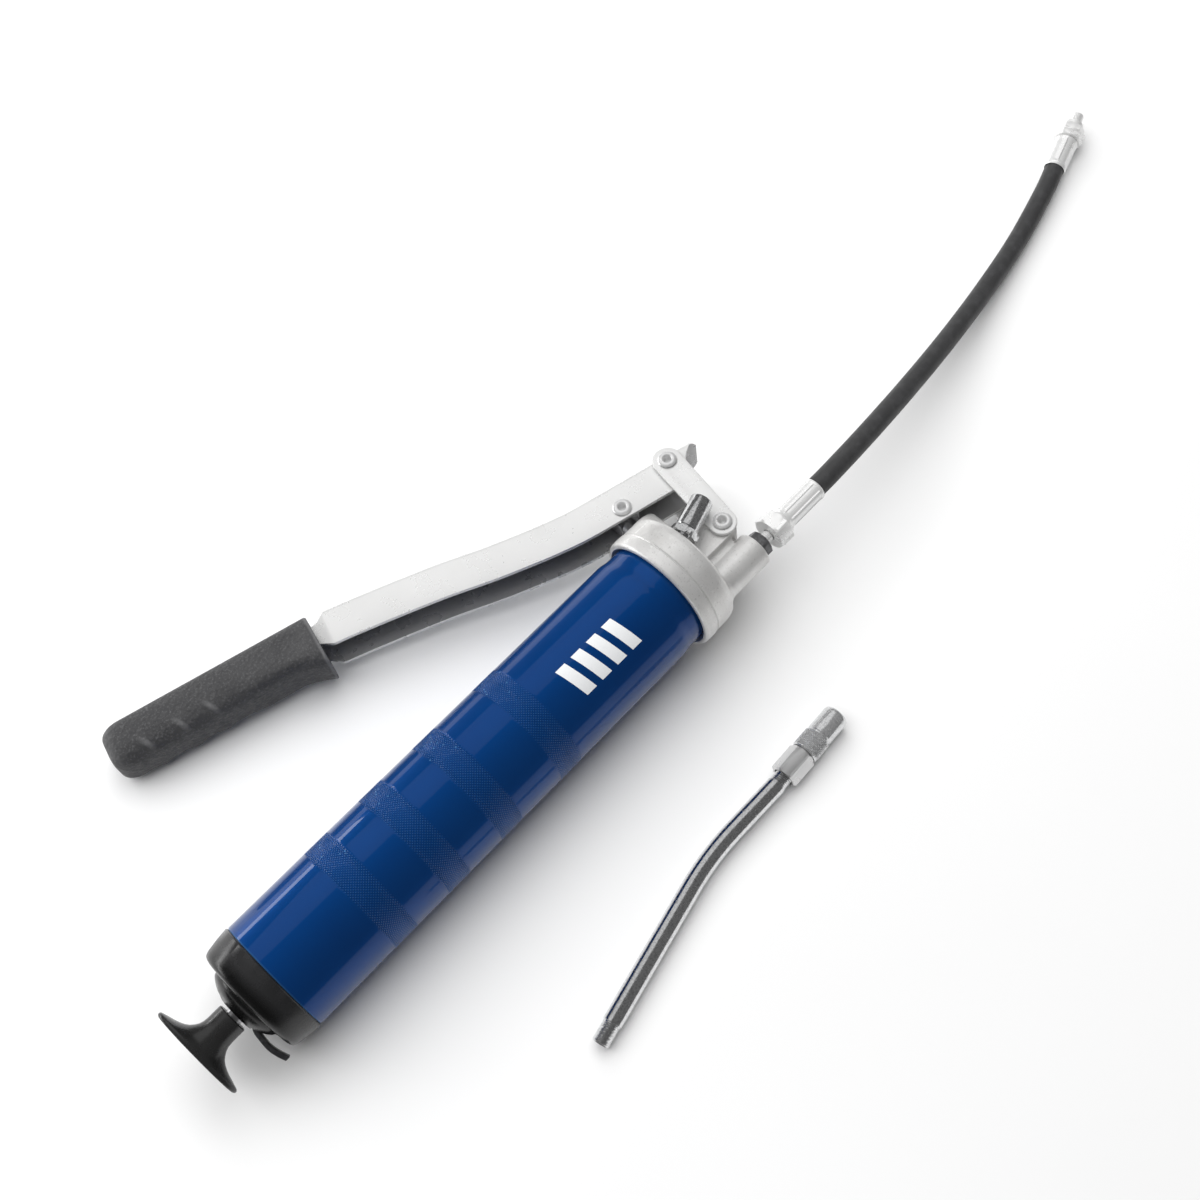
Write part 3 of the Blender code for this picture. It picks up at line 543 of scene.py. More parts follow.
BLUE = blue_paint()
CAST = cast_alloy()
ZINC = zinc()
SHEET_ZINC = zinc("sheet_zinc", 0.40, (0.74, 0.74, 0.735))
PIN_ZINC = zinc("pin_zinc", 0.60, (0.82, 0.82, 0.82))
NICKEL = zinc("nickel", 0.80, (0.66, 0.66, 0.66))
# A darker copy of the zinc, put on the faces inside the lever's channel as painted shade.
SHADED_CHANNEL_ZINC = zinc("channel_painted_shade", 0.50, (0.42, 0.42, 0.423))
CHROME = chrome()
BRIGHT_CHROME = chrome("bright_chrome", 0.78)
STEEL = steel()
DARK_STEEL = dark_steel()
BLACK = black_plastic("black_plastic", 0.0015, 0.40)
HANDLE_BLACK = black_plastic("handle_plastic", 0.012, 0.60)
VINYL = grip_vinyl()
RUBBER = rubber()
WHITE = white_print()

# ---------------------------------------------------------------- hose, the one free cord

HOSE_R = 0.00515
HOSE_EXIT = 0.3273
FERRULE_R = 0.0060

# The row's origin, in the axes that the hose's free part and the rigid pipe are measured in.
CORNER = Vector((0.141843, 0.010353, 0.0))


def hose_route():
    """The hose's centre line, from inside its first fitting to inside its last."""
    near = [GUN @ Vector((x, OUTLET_Y, 0)) for x in (0.3210, 0.3300, 0.3380)]
    rest = (
        (0.3675, -0.0164, 0.0323),
        (0.4067, -0.0126, 0.0253),
        (0.4475, -0.0073, 0.0170),
        (0.4878, -0.0009, 0.0103),
        (0.5264, 0.0064, 0.0066),
        (0.5615, 0.0152, 0.0064),
        (0.5778, 0.0203, 0.0072),
        (0.5856, 0.0228, 0.0077),
    )
    return near + [Vector(point) - CORNER for point in rest]


ROUTE = hose_route()
TIP = pointed(ROUTE[-2], (ROUTE[-1] - ROUTE[-2]).normalized())


def hose():
    points = curve_through(ROUTE, 72)
    curve = bpy.data.curves.new("rubber_hose", "CURVE")
    curve.dimensions = "3D"
    curve.bevel_depth = HOSE_R
    curve.bevel_resolution = 12
    curve.use_fill_caps = True
    line = curve.splines.new("POLY")
    line.points.add(len(points) - 1)
    for spot, point in zip(line.points, points):
        spot.co = (point.x, point.y, point.z, 1)
    line.use_smooth = True
    obj = bpy.data.objects.new("rubber_hose", curve)
    bpy.context.scene.collection.objects.link(obj)
    curve.materials.append(RUBBER)
    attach(obj, "gun")
    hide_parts("hose")
    return obj, sum((b - a).length for a, b in zip(points, points[1:]))


def far_fitting():
    """Crimped end with a collar nut and a male thread, on the free end of the hose."""
    ferrule = turned(
        "far_ferrule",
        fine(
            [(0.0, HOSE_R + 0.0004), (0.0, FERRULE_R - 0.0005), (0.0006, FERRULE_R - 0.0001),
             (0.0014, FERRULE_R + 0.0001), (0.0192, FERRULE_R + 0.0003), (0.0200, FERRULE_R - 0.0010),
             (0.0200, 0.0031), (0.0095, 0.0031), (0.0095, HOSE_R + 0.0004)],
            0.0005, 0.0, 0.0200,
        ),
        144,
        crimps(0.0018, 0.0186, 8, 0.00040),
    )
    finish(ferrule, ZINC, "gun", "tip_ferrule", TIP)
    corner = 0.0081
    nut = turned(
        "far_nut",
        [(0.0203, 0.0031), (0.0203, corner - 0.0011), (0.0212, corner), (0.0232, corner),
         (0.0236, corner - 0.0012), (0.0242, corner - 0.0012), (0.0246, corner), (0.0274, corner),
         (0.0283, corner - 0.0011), (0.0283, 0.0031)],
        144,
        hex_shape(0.0205, 0.0282, corner),
    )
    finish(soften(nut, 0.00012, 2), ZINC, "gun", "tip_nut", TIP)
    tip = turned(
        "far_thread",
        [(0.0110, 0.0012), (0.0110, 0.0028), (0.0286, 0.0028), (0.0286, 0.0049), (0.0290, 0.0052),
         (0.0319, 0.0052), (0.0323, 0.0048), (0.0323, 0.0036)]
        + fine([(0.0326, 0.0034), (0.0384, 0.0033)], 0.00012)
        + [(0.0389, 0.0026), (0.0389, 0.0012)],
        72,
        thread(0.0326, 0.0386, 0.0009, 0.00042),
    )
    finish(tip, ZINC, "gun", "tip_thread", TIP)
    return [ferrule, nut, tip]


hose_piece, hose_length = hose()
far_fitting()

# ---------------------------------------------------------------- barrel and its tail

BARREL_R = 0.0280
BARREL_WALL = 0.0012
BARREL_END = 0.2476
NECK_R = 0.0271
NECK_START = 0.2260
BAND_WIDE = 0.0140
BANDS = (0.0495, 0.0810, 0.1130, 0.1500)
BAND_TEETH = 120
BAND_DEPTH = 0.00026
ROD_R = 0.0040
GAP = 0.0003


def barrel():
    inner = BARREL_R - BARREL_WALL
    neck_inner = NECK_R - BARREL_WALL
    surface = BARREL_R - 0.0001
    edges = [(band - BAND_WIDE / 2, band + BAND_WIDE / 2) for band in BANDS]
    outline = [(0.0, inner), (0.0, surface - 0.0003), (0.0004, surface), (0.0008, surface),
               (0.0014, surface)]
    for low, high in edges:
        outline += [(low - 0.0010, surface), (low - 0.0004, surface)]
        outline += fine([(low, surface), (high, surface)], 0.00025)
        outline += [(high + 0.0004, surface), (high + 0.0010, surface)]
    outline += [
        (NECK_START - 0.0030, surface),
        (NECK_START - 0.0020, surface),
        (NECK_START, surface - 0.0001),
        (NECK_START + 0.0016, surface - 0.0004),
        (NECK_START + 0.0034, NECK_R + 0.0001),
        (NECK_START + 0.0050, NECK_R),
        (BARREL_END - 0.0004, NECK_R),
        (BARREL_END, NECK_R - 0.0004),
        (BARREL_END, neck_inner),
        (NECK_START + 0.0055, neck_inner),
        (NECK_START + 0.0005, inner),
    ]
    knurls = [knurl(low, high, BARREL_R, BAND_TEETH, BAND_DEPTH) for low, high in edges]
    tube = turned("barrel", outline, 6 * BAND_TEETH, in_turn(*knurls, least=inner + 0.0004))
    finish(tube, BLUE, "gun", "barrel_tube")


def barrel_mark():
    """Printed sign of four slanted bars, in a thin layer of white paint."""
    low, high = math.radians(97), math.radians(132)
    under, over = BARREL_R - 0.00010, BARREL_R + 0.00003
    first, spacing, width, slant = 0.1722, 0.0096, 0.0058, 0.0034
    steps = 16
    for number in range(4):
        start = first + number * spacing
        bm = bmesh.new()
        grid = {}
        for layer, r in enumerate((under, over)):
            for i in range(steps + 1):
                a = low + (high - low) * i / steps
                lean = slant * (i / steps - 0.5)
                for k, x in enumerate((start + lean, start + width + lean)):
                    grid[layer, i, k] = bm.verts.new((x, r * math.cos(a), r * math.sin(a)))
        faces = []
        for i in range(steps):
            for layer in (0, 1):
                faces.append([(layer, i, 0), (layer, i + 1, 0), (layer, i + 1, 1), (layer, i, 1)])
            for k in (0, 1):
                faces.append([(0, i, k), (0, i + 1, k), (1, i + 1, k), (1, i, k)])
        for i in (0, steps):
            faces.append([(0, i, 0), (0, i, 1), (1, i, 1), (1, i, 0)])
        for face in faces:
            bm.faces.new([grid[corner] for corner in face])
        finish(mesh_object(f"mark_bar_{number + 1}", bm), WHITE, "gun")


def end_cap():
    plug_r = BARREL_R - BARREL_WALL - GAP
    cap_r = 0.0283
    dome = [(-0.0154, 0.0184), (-0.0165, 0.0179), (-0.0175, 0.0168), (-0.0184, 0.0155), (-0.0193, 0.0140),
            (-0.0201, 0.0122), (-0.0206, 0.0105), (-0.0211, 0.0094), (-0.0214, 0.0082)]
    outline = [
        (0.006, plug_r - 0.002), (0.006, plug_r - 0.0004), (0.0056, plug_r), (-GAP, plug_r),
        (-GAP, cap_r - 0.0005), (-0.0008, cap_r), (-0.0060, cap_r - 0.0005), (-0.0115, cap_r - 0.0014),
        (-0.0128, cap_r - 0.0018), (-0.0138, cap_r - 0.0024), (-0.0144, cap_r - 0.0034),
        (-0.0147, cap_r - 0.0046), (-0.0147, 0.0204), (-0.0149, 0.0194),
    ]
    outline += dome
    outline += [(-0.0214, 0.0050), (-0.0211, ROD_R + GAP), (-0.0095, ROD_R + GAP), (-0.0095, 0.0120),
                (-0.0115, plug_r - 0.002)]
    cap = turned("cap", outline, 144)
    cap.data.transform(GUN)
    slot = block("slot", (-0.0206, -0.0300, -0.0064), (-0.0156, 0.0092, 0.0064))
    way_out = block("way_out", (-0.0235, -0.0310, -0.0066), (-0.0160, -0.0084, 0.0066))
    for tool in (slot, way_out):
        tool.data.transform(TAIL)
    cut(cap, slot, way_out)
    soften(cap, 0.00035, 3, 40)
    finish(cap, BLACK, "gun", "end_cap", ROW)


def tee_handle():
    half = 0.0227
    steps = [
        (-0.0232, 0.0068, 0.0068), (-0.0236, 0.0072, 0.0072), (-0.0300, 0.0072, 0.0072),
        (-0.0322, 0.0074, 0.0073), (-0.0340, 0.0080, 0.0076), (-0.0356, 0.0090, 0.0079),
        (-0.0372, 0.0104, 0.0082), (-0.0384, 0.0122, 0.0086), (-0.0393, 0.0142, 0.0090),
        (-0.0401, 0.0166, 0.0094), (-0.0407, 0.0190, 0.0097), (-0.0412, 0.0208, 0.0099),
        (-0.0416, half - 0.0006, 0.0101), (-0.0420, half - 0.0001, 0.0102), (-0.0428, half, 0.0102),
        (-0.0432, half - 0.0003, 0.0101), (-0.0435, half - 0.0008, 0.0097),
        (-0.0434, half - 0.0016, 0.0090), (-0.0430, half - 0.0024, 0.0084),
        (-0.0428, half - 0.0060, 0.0060),
    ]
    sections = [
        [Vector((x, across * math.cos(a), thick * math.sin(a))) for a in all_round(96)]
        for x, across, thick in steps
    ]
    handle = loft("handle", sections)
    cut(handle, cylinder("bore", -0.0390, -0.0200, ROD_R + GAP))
    finish(handle, HANDLE_BLACK, "follower", "tee_handle", TAIL, 40)


def rod_latch():
    at = -0.0192

    def bent(spots):
        return curve_through([Vector((at + x, y, 0)) for x, y in spots], 16)

    outer = bent(((-0.0011, -0.0086), (-0.0022, -0.0112), (-0.0029, -0.0190), (-0.0021, -0.0240),
                  (-0.0007, -0.0281)))
    inner = bent(((0.0015, -0.0281), (0.0001, -0.0236), (-0.0007, -0.0190), (0.0, -0.0116),
                  (0.0011, -0.0088)))
    outline = [(at - 0.0011, 0.0082)] + [(p.x, p.y) for p in outer + inner] + [(at + 0.0011, 0.0082)]
    plate = prism("latch_plate", outline, -0.0058, 0.0058)
    cut(plate, cylinder("hole", -0.03, 0.0, 0.0047))
    finish(soften(plate, 0.00025, 2), DARK_STEEL, "latch", "rod_latch", TAIL)


def follower_rod():
    bar = turned(
        "pull_rod",
        [(-0.0387, 0), (-0.0387, ROD_R - 0.0004), (-0.0383, ROD_R), (0.2156, ROD_R),
         (0.2160, ROD_R - 0.0004), (0.2160, 0.0028), (0.2316, 0.0028), (0.2320, 0.0024), (0.2320, 0)],
        64,
    )
    finish(bar, STEEL, "follower", "follower_rod", GUN)


# ---------------------------------------------------------------- pump head

RING_LOW = 0.2363
RING_R = 0.0312
HEAD_FLOOR = 0.2500
HEAD_TOP = 0.2570
PUMP_X = 0.2561
PUMP_BORE_R = 0.0050
PUMP_MOUTH_Y = 0.0306
OUTLET_R = 0.0090
OUTLET_END = 0.2840
PIN_R = 0.0027
PUMP = Matrix.Translation((PUMP_X, 0, 0)) @ X_TO_Y
FILLER = Matrix.Translation((0.2560, 0.0025, 0.0200)) @ Matrix.Rotation(math.radians(16.5), 4, "Z")


def pin_hole(centre):
    """Cutter for a pin that lies across the lever."""
    reach = Vector((0, 0, 0.02))
    return rod("hole", centre - reach, centre + reach, PIN_R + GAP)


def head_ring():
    outline = [
        (HEAD_TOP, 0), (HEAD_TOP, 0.0272), (HEAD_TOP - 0.0005, 0.0288), (HEAD_TOP - 0.0018, 0.0301),
        (HEAD_TOP - 0.0042, RING_R - 0.0005), (0.2448, RING_R - 0.0003), (0.2440, RING_R - 0.0001),
        (0.2400, RING_R), (0.2374, RING_R - 0.0002), (RING_LOW + 0.0002, RING_R - 0.0010),
        (RING_LOW, RING_R - 0.0018), (RING_LOW, 0),
    ]
    return turned("head", outline, 240)


def pump_boss():
    levels = ((-0.012, 1.0), (PUMP_MOUTH_Y - 0.0014, 1.0), (PUMP_MOUTH_Y - 0.0004, 0.96),
              (PUMP_MOUTH_Y, 0.9))
    sections = [
        [Vector((PUMP_X + scale * 0.0110 * math.cos(a), y, scale * 0.0085 * math.sin(a)))
         for a in all_round(72)]
        for y, scale in levels
    ]
    return loft("boss", sections)


def outlet_boss():
    r = OUTLET_R
    outline = [(HEAD_TOP - 0.0032, 0), (HEAD_TOP - 0.0032, r + 0.001), (HEAD_TOP + 0.0005, r + 0.001),
               (HEAD_TOP + 0.0030, r), (OUTLET_END, r), (OUTLET_END, 0)]
    boss = turned("boss", outline, 96)
    boss.data.transform(Matrix.Translation((0, OUTLET_Y, 0)))
    return boss


def lug():
    outline = [(HEAD_TOP - 0.0041, 0.0100), (HEAD_TOP - 0.0041, -0.0086)]
    outline += arc((LINK_PIVOT.x, LINK_PIVOT.y), 0.0064, -90, 90, 24)
    outline += [(HEAD_TOP + 0.010, 0.0062)]
    return prism("lug", outline, -0.0110, 0.0110)


def lug_rib():
    foot = HEAD_TOP - 0.0037
    outline = [(foot, -0.0160), (0.2760, -0.0160), (0.2790, -0.0070), (foot, -0.0070)]
    return prism("rib", outline, -0.0070, 0.0070)


def head_cutters():
    bore = turned(
        "bore",
        [(OUTLET_Y, 0), (OUTLET_Y, 0.0015), (-0.0045, 0.0015), (-0.0040, PUMP_BORE_R),
         (PUMP_MOUTH_Y - 0.0006, PUMP_BORE_R), (PUMP_MOUTH_Y + 0.0002, PUMP_BORE_R + 0.0008),
         (0.0400, PUMP_BORE_R + 0.0008), (0.0400, 0)],
        64,
    )
    bore.data.transform(PUMP)
    outlet = turned(
        "outlet",
        [(0.2545, 0), (0.2545, 0.0018), (0.2630, 0.0018), (0.2650, 0.0046),
         (OUTLET_END - 0.0007, 0.0046), (OUTLET_END + 0.0001, 0.0054), (0.2900, 0.0054), (0.2900, 0)],
        64,
    )
    outlet.data.transform(Matrix.Translation((0, OUTLET_Y, 0)))
    filler = cylinder("filler", -0.010, 0.004, 0.0038)
    filler.data.transform(FILLER)
    cavity = turned(
        "cavity",
        [(0.2300, 0), (0.2300, 0.0288), (RING_LOW + 0.0003, 0.0288), (RING_LOW + 0.0017, 0.0274),
         (HEAD_FLOOR, 0.0274), (HEAD_FLOOR, 0)],
        240,
    )
    groove = turned("groove", [(0.2430, 0.0360), (0.2430, RING_R - 0.0004), (0.2436, RING_R - 0.0007),
                               (0.2442, RING_R - 0.0004), (0.2442, 0.0360)], 240)
    return [cavity, groove, bore, outlet, pin_hole(LINK_PIVOT), filler]


def head():
    body = head_ring()
    add(body, pump_boss(), outlet_boss(), lug(), lug_rib())
    as_cast(body, 0.00034, 5)
    cut(body, *head_cutters())
    finish(body, CAST, "gun", "head_casting", GUN, 45)


def filler_fitting():
    corner = 0.0072
    body = turned(
        "filler",
        [(-0.0050, 0.0019), (-0.0050, 0.0030)]
        + fine([(-0.0048, 0.0035), (0.0026, 0.0035)], 0.00015)
        + [(0.0030, 0.0045), (0.0030, corner - 0.0009), (0.0036, corner), (0.0061, corner),
           (0.0067, corner - 0.0009), (0.0067, 0.0047), (0.0074, 0.0052), (0.0078, 0.0055),
           (0.0237, 0.0055), (0.0243, 0.0052), (0.0245, 0.0047), (0.0245, 0.0026), (0.0238, 0.0019)],
        144,
        in_turn(thread(-0.0048, 0.0026, 0.0010, 0.0004), hex_shape(0.0030, 0.0067, corner)),
    )
    finish(body, CHROME, "gun", "filler_nipple", GUN @ FILLER)


def adapter():
    corner = 0.0069
    body = turned(
        "adapter",
        [(0.2774, 0.0031), (0.2774, 0.0039)]
        + fine([(0.2776, 0.0043), (0.2838, 0.0043)], 0.00015)
        + [(0.2843, 0.0045), (0.2843, corner - 0.0008), (0.2849, corner), (0.2886, corner),
           (0.2892, corner - 0.0008), (0.2892, 0.0031)],
        144,
        in_turn(thread(0.2776, 0.2838, 0.0010, 0.0004), hex_shape(0.2843, 0.2892, corner)),
    )
    finish(body, DARK_STEEL, "gun", "outlet_adapter", OUTLET)


def hose_fitting():
    nipple = turned(
        "nipple",
        [(0.2800, 0.0012), (0.2800, 0.0024)]
        + fine([(0.2802, 0.0028), (0.2935, 0.0028)], 0.00012)
        + [(0.2940, 0.0024), (0.3200, 0.0024), (0.3200, 0.0012)],
        72,
        thread(0.2802, 0.2935, 0.0009, 0.00035),
    )
    finish(nipple, ZINC, "gun", "hose_nipple", OUTLET)
    corner = 0.0093
    body = turned(
        "ferrule",
        [(0.2940, 0.0031), (0.2940, corner - 0.0012), (0.2948, corner), (0.3014, corner),
         (0.3021, corner - 0.0013), (0.3024, 0.0071), (0.3034, 0.0068)]
        + fine([(0.3045, FERRULE_R), (HOSE_EXIT - 0.0008, FERRULE_R + 0.0001)], 0.0004)
        + [(HOSE_EXIT - 0.0003, FERRULE_R - 0.0001), (HOSE_EXIT, FERRULE_R - 0.0004),
           (HOSE_EXIT, HOSE_R + GAP), (0.3075, HOSE_R + GAP), (0.3075, 0.0031)],
        144,
        in_turn(hex_shape(0.2940, 0.3021, corner), crimps(0.3048, HOSE_EXIT - 0.0012, 8, 0.0004),
                least=HOSE_R + 0.0004),
    )
    finish(body, ZINC, "gun", "hose_ferrule", OUTLET)


# ---------------------------------------------------------------- linkage

LINK_HALF = 0.0133
SHEET = 0.0020
LEVER_HALF = 0.0110
LEVER_DEPTH = 0.0190
GRIP_FRONT = 0.1160
NOSE_START = 0.3006


def rivet(name, node, centre, reach, body):
    """Headed pin along z, with a hollow formed in each head."""
    head = 0.0046
    thick = 0.0013
    side = [
        (reach, PIN_R), (reach, head - 0.0002), (reach + 0.0004, head), (reach + 0.0009, head - 0.0004),
        (reach + thick, head - 0.0014), (reach + thick, 0.0025), (reach + thick - 0.0002, 0.0021),
        (reach + thick - 0.0012, 0.0018), (reach + thick - 0.0034, 0.0016),
        (reach + thick - 0.0038, 0.0010), (reach + thick - 0.0038, 0),
    ]
    outline = [(-x, r) for x, r in reversed(side)] + side
    pin = turned(name, outline, 64)
    finish(pin, PIN_ZINC, body, node, GUN @ Matrix.Translation(centre) @ X_TO_Z, 50)


def link():
    low = (LINK_PIVOT.x, LINK_PIVOT.y)
    top = (LEVER_PIVOT.x, LEVER_PIVOT.y)
    outline = arc(low, 0.0068, 170, 350, 32) + arc(top, 0.0072, -8, 170, 32)
    strap = prism("link_strap", outline, -LINK_HALF, LINK_HALF)
    inner = LINK_HALF - SHEET
    room = [(0.2600, -0.0200), (0.3200, -0.0200), (0.3200, 0.0030), (0.2857, 0.0030), (0.2900, 0.0240),
            (0.3200, 0.0240), (0.3200, 0.0600), (0.2600, 0.0600)]
    cut(strap, prism("room", room, -inner, inner))
    cut(strap, pin_hole(LINK_PIVOT), pin_hole(LEVER_PIVOT))
    soften(strap, 0.0004, 3, 40)
    finish(strap, SHEET_ZINC, "link", "link", GUN)


def lever_path():
    spots = (
        (0.0320, 0.1262), (0.0600, 0.1186), (0.1000, 0.1072), (0.1180, 0.1016), (0.1375, 0.0938),
        (0.1716, 0.0785), (0.1993, 0.0645), (0.2303, 0.0512), (0.2566, 0.0435), (0.2830, 0.0364),
        (0.3010, 0.0314), (0.3040, 0.0306),
    )
    return curve_through([Vector((x, y, 0)) for x, y in spots], 240)


def lever_section(centre, normal, deep, wide):
    t = SHEET
    outer, inner = 0.0024, 0.0006
    loop = [(-deep, wide)]
    loop += arc((deep - outer, wide - outer), outer, 90, 0, 6)
    loop += arc((deep - outer, -wide + outer), outer, 0, -90, 6)
    loop += [(-deep, -wide), (-deep, -wide + t)]
    loop += arc((deep - t - inner, -wide + t + inner), inner, -90, 0, 3)
    loop += arc((deep - t - inner, wide - t - inner), inner, 0, 90, 3)
    loop += [(-deep, wide - t)]
    return [centre + normal * n + Vector((0, 0, z)) for n, z in loop]


def lever():
    """Pressed channel, narrower where its tail goes into the grip and round at its nose."""
    tail_deep, tail_wide = 0.0058, 0.0092
    path = lever_path()
    sections = []
    for i, centre in enumerate(path):
        ahead = path[min(i + 1, len(path) - 1)] - path[max(i - 1, 0)]
        normal = Vector((-ahead.y, ahead.x, 0)).normalized()
        share = min(1.0, max(0.0, (centre.x - GRIP_FRONT - 0.0008) / 0.0052))
        deep = tail_deep + share * (LEVER_DEPTH / 2 - tail_deep)
        wide = tail_wide + share * (LEVER_HALF - tail_wide)
        wide -= 0.0035 * (max(0.0, centre.x - NOSE_START) / 0.0034) ** 2
        sections.append(lever_section(centre, normal, deep, wide))
    channel = loft("lever_channel", sections)
    cut(channel, pin_hole(LEVER_PIVOT), pin_hole(PLUNGER_PIVOT))
    beak = [(0.3120, 0.0363), (0.3022, 0.0390), (0.2985, 0.0373), (0.2955, 0.0352), (0.2941, 0.0321),
            (0.2900, 0.0295), (0.2840, 0.0240), (0.3150, 0.0150)]
    cut(channel, prism("nose", beak, -0.02, 0.02))
    soften(channel, 0.0003, 2, 50)
    finish(channel, SHEET_ZINC, "lever", "lever", GUN)
    # The faces inside the channel get the darker zinc as painted shade.
    channel.data.materials.append(SHADED_CHANNEL_ZINC)
    into_gun = GUN.inverted()
    for face in channel.data.polygons:
        centre = into_gun @ face.center
        normal = into_gun.to_3x3() @ face.normal
        between = abs(centre.z) < LEVER_HALF - SHEET + 0.0002
        if between and (normal.y < -0.5 or normal.z * centre.z < -0.003):
            face.material_index = 1
    rivet("lever_pin", "lever_rivet", LEVER_PIVOT, LINK_HALF + GAP, "lever")
    rivet("plunger_pin", "plunger_rivet", PLUNGER_PIVOT, LEVER_HALF + GAP, "lever")
    rivet("link_pin", "link_rivet", LINK_PIVOT, LINK_HALF + GAP, "gun")


def squared(value):
    """Turns the sine or cosine of a circle into that of a rounded square."""
    return math.copysign(abs(value) ** 0.52, value)


def hump(value, centre, wide):
    """A flat-topped bump from 0 to 1."""
    return math.exp(-(((value - centre) / wide) ** 4))


def grip():
    """Dipped vinyl sleeve on the lever's tail, with finger ridges and a stop at its front."""
    start, end = Vector((0.0141, 0.1315, 0)), Vector((GRIP_FRONT, 0.1026, 0))
    along = (end - start).normalized()
    normal = Vector((-along.y, along.x, 0))
    length = (end - start).length
    half_up, half_across = 0.0118, 0.0127
    ridges, ridge_wide = (0.0185, 0.0355, 0.0508), 0.0030

    def size_at(s):
        if s < 0.0100:
            return math.sqrt(max(0.0, 1 - ((0.0100 - s) / 0.0100) ** 2)) * 0.42 + 0.58
        return 1.0

    def flare_at(s):
        back = length - s
        return 0.0062 * max(0.0, 1 - back / 0.0160) ** 1.4

    stations = [0.0, 0.0002, 0.0006, 0.0012, 0.0020, 0.0030] + [
        0.0042 + (length - 0.0042 - 0.0008) * i / 110 for i in range(111)
    ] + [length - 0.0003, length]
    sections = []
    for s in stations:
        centre = start + along * s
        scale = size_at(s)
        near_end = max(0.0, s - (length - 0.0008)) / 0.0008
        shrink = 1 - 0.05 * near_end ** 2
        dip = 1.0 if s < 0.062 else max(0.0, 1 - (s - 0.062) / 0.010)
        fade = min(1.0, s / 0.012)
        loop = []
        for a in all_round(96):
            across = half_across * scale * squared(math.cos(a))
            up = half_up * scale * squared(math.sin(a))
            lower = max(0.0, -up / half_up)
            side = min(1.0, abs(across) / 0.0110)
            slanted = s + up * 0.45 + 0.004
            bump = sum(math.exp(-((slanted - ridge) / ridge_wide) ** 2) for ridge in ridges)
            press = 0.0028 * dip * lower ** 1.4 * side * (1 - bump) * fade
            across -= math.copysign(press, across)
            if up < 0:
                up -= flare_at(s) * (-up / half_up)
            recess = hump(s, 0.0935, 0.0065) * hump(up, -0.0010, 0.0060)
            across -= math.copysign(0.0010 * recess * side, across)
            loop.append(centre + normal * (up * shrink) + Vector((0, 0, across * shrink)))
        sections.append(loop)
    sleeve = loft("grip_sleeve", sections)
    tail_up, tail_across = 0.0064, 0.0095
    pocket = []
    for at in (0.0150, length + 0.01):
        centre = start + along * at
        pocket.append([centre + normal * (up * tail_up - 0.0004) + Vector((0, 0, across * tail_across))
                       for across, up in ((1, -1), (1, 1), (-1, 1), (-1, -1))])
    cut(sleeve, loft("pocket", pocket))
    finish(sleeve, VINYL, "lever", "grip", GUN, 50)


def plunger():
    body = turned(
        "plunger_rod",
        [(0.0012, 0), (0.0012, 0.0040), (0.0022, PUMP_BORE_R - 0.0002), (0.0375, PUMP_BORE_R - 0.0002),
         (0.0385, PUMP_BORE_R - 0.0008), (0.0385, 0)],
        64,
    )
    body.data.transform(PUMP)
    add(body, block("eye", (PUMP_X - 0.0056, 0.0358, -0.0046), (PUMP_X + 0.0066, 0.0458, 0.0046)))
    half = PIN_R + 0.0005
    slot = arc((PUMP_X + 0.0017, PLUNGER_PIVOT.y), half, -90, 90, 16)
    slot += arc((PUMP_X - 0.0006, PLUNGER_PIVOT.y), half, 90, 270, 16)
    cut(body, prism("slot", slot, -0.02, 0.02))
    finish(soften(body, 0.0003, 2, 45), STEEL, "plunger", "plunger", GUN)


# ---------------------------------------------------------------- rigid pipe and coupler

PIPE_R = 0.0046
PIPE_END = Vector((0.0754, -0.1156, 0.0046))
PIPE_BEND = Vector((0.1667, -0.0957, 0.0059))
COUPLER_START = Vector((0.2175, -0.0957, 0.0066))
HEADING = Vector(joints["sleeve_turn"]["axis"]).normalized()
COUPLER = (Matrix.Translation(COUPLER_START - CORNER)
           @ Matrix.Rotation(math.atan2(HEADING.y, HEADING.x), 4, "Z"))
TABLE = Matrix.Translation(-CORNER)
PIPE_AWAY = (PIPE_END - PIPE_BEND).normalized()
PIPE_INSIDE = COUPLER_START + HEADING * 0.0070
THREAD_STEP = 0.00014


def pipe_line():
    """The pipe's centre line, with finer steps under the threads at its two ends."""
    back = (COUPLER_START - PIPE_BEND).normalized()
    first, last = PIPE_BEND + PIPE_AWAY * 0.016, PIPE_BEND + back * 0.016
    reach = (PIPE_END - first).length
    threaded = 0.0105
    count = round(threaded / THREAD_STEP)
    line = [PIPE_END - PIPE_AWAY * (threaded * i / count) for i in range(count + 1)]
    line += [PIPE_END - PIPE_AWAY * (threaded + (reach - threaded) * i / 24) for i in range(1, 24)]
    for i in range(17):
        t = i / 16
        line.append(first * (1 - t) ** 2 + PIPE_BEND * (2 * t * (1 - t)) + last * t ** 2)
    stop = COUPLER_START - HEADING * 0.0055
    line += [last.lerp(stop, i / 12) for i in range(1, 12)]
    count = round(0.0125 / THREAD_STEP)
    line += [stop.lerp(PIPE_INSIDE, i / count) for i in range(count + 1)]
    return line


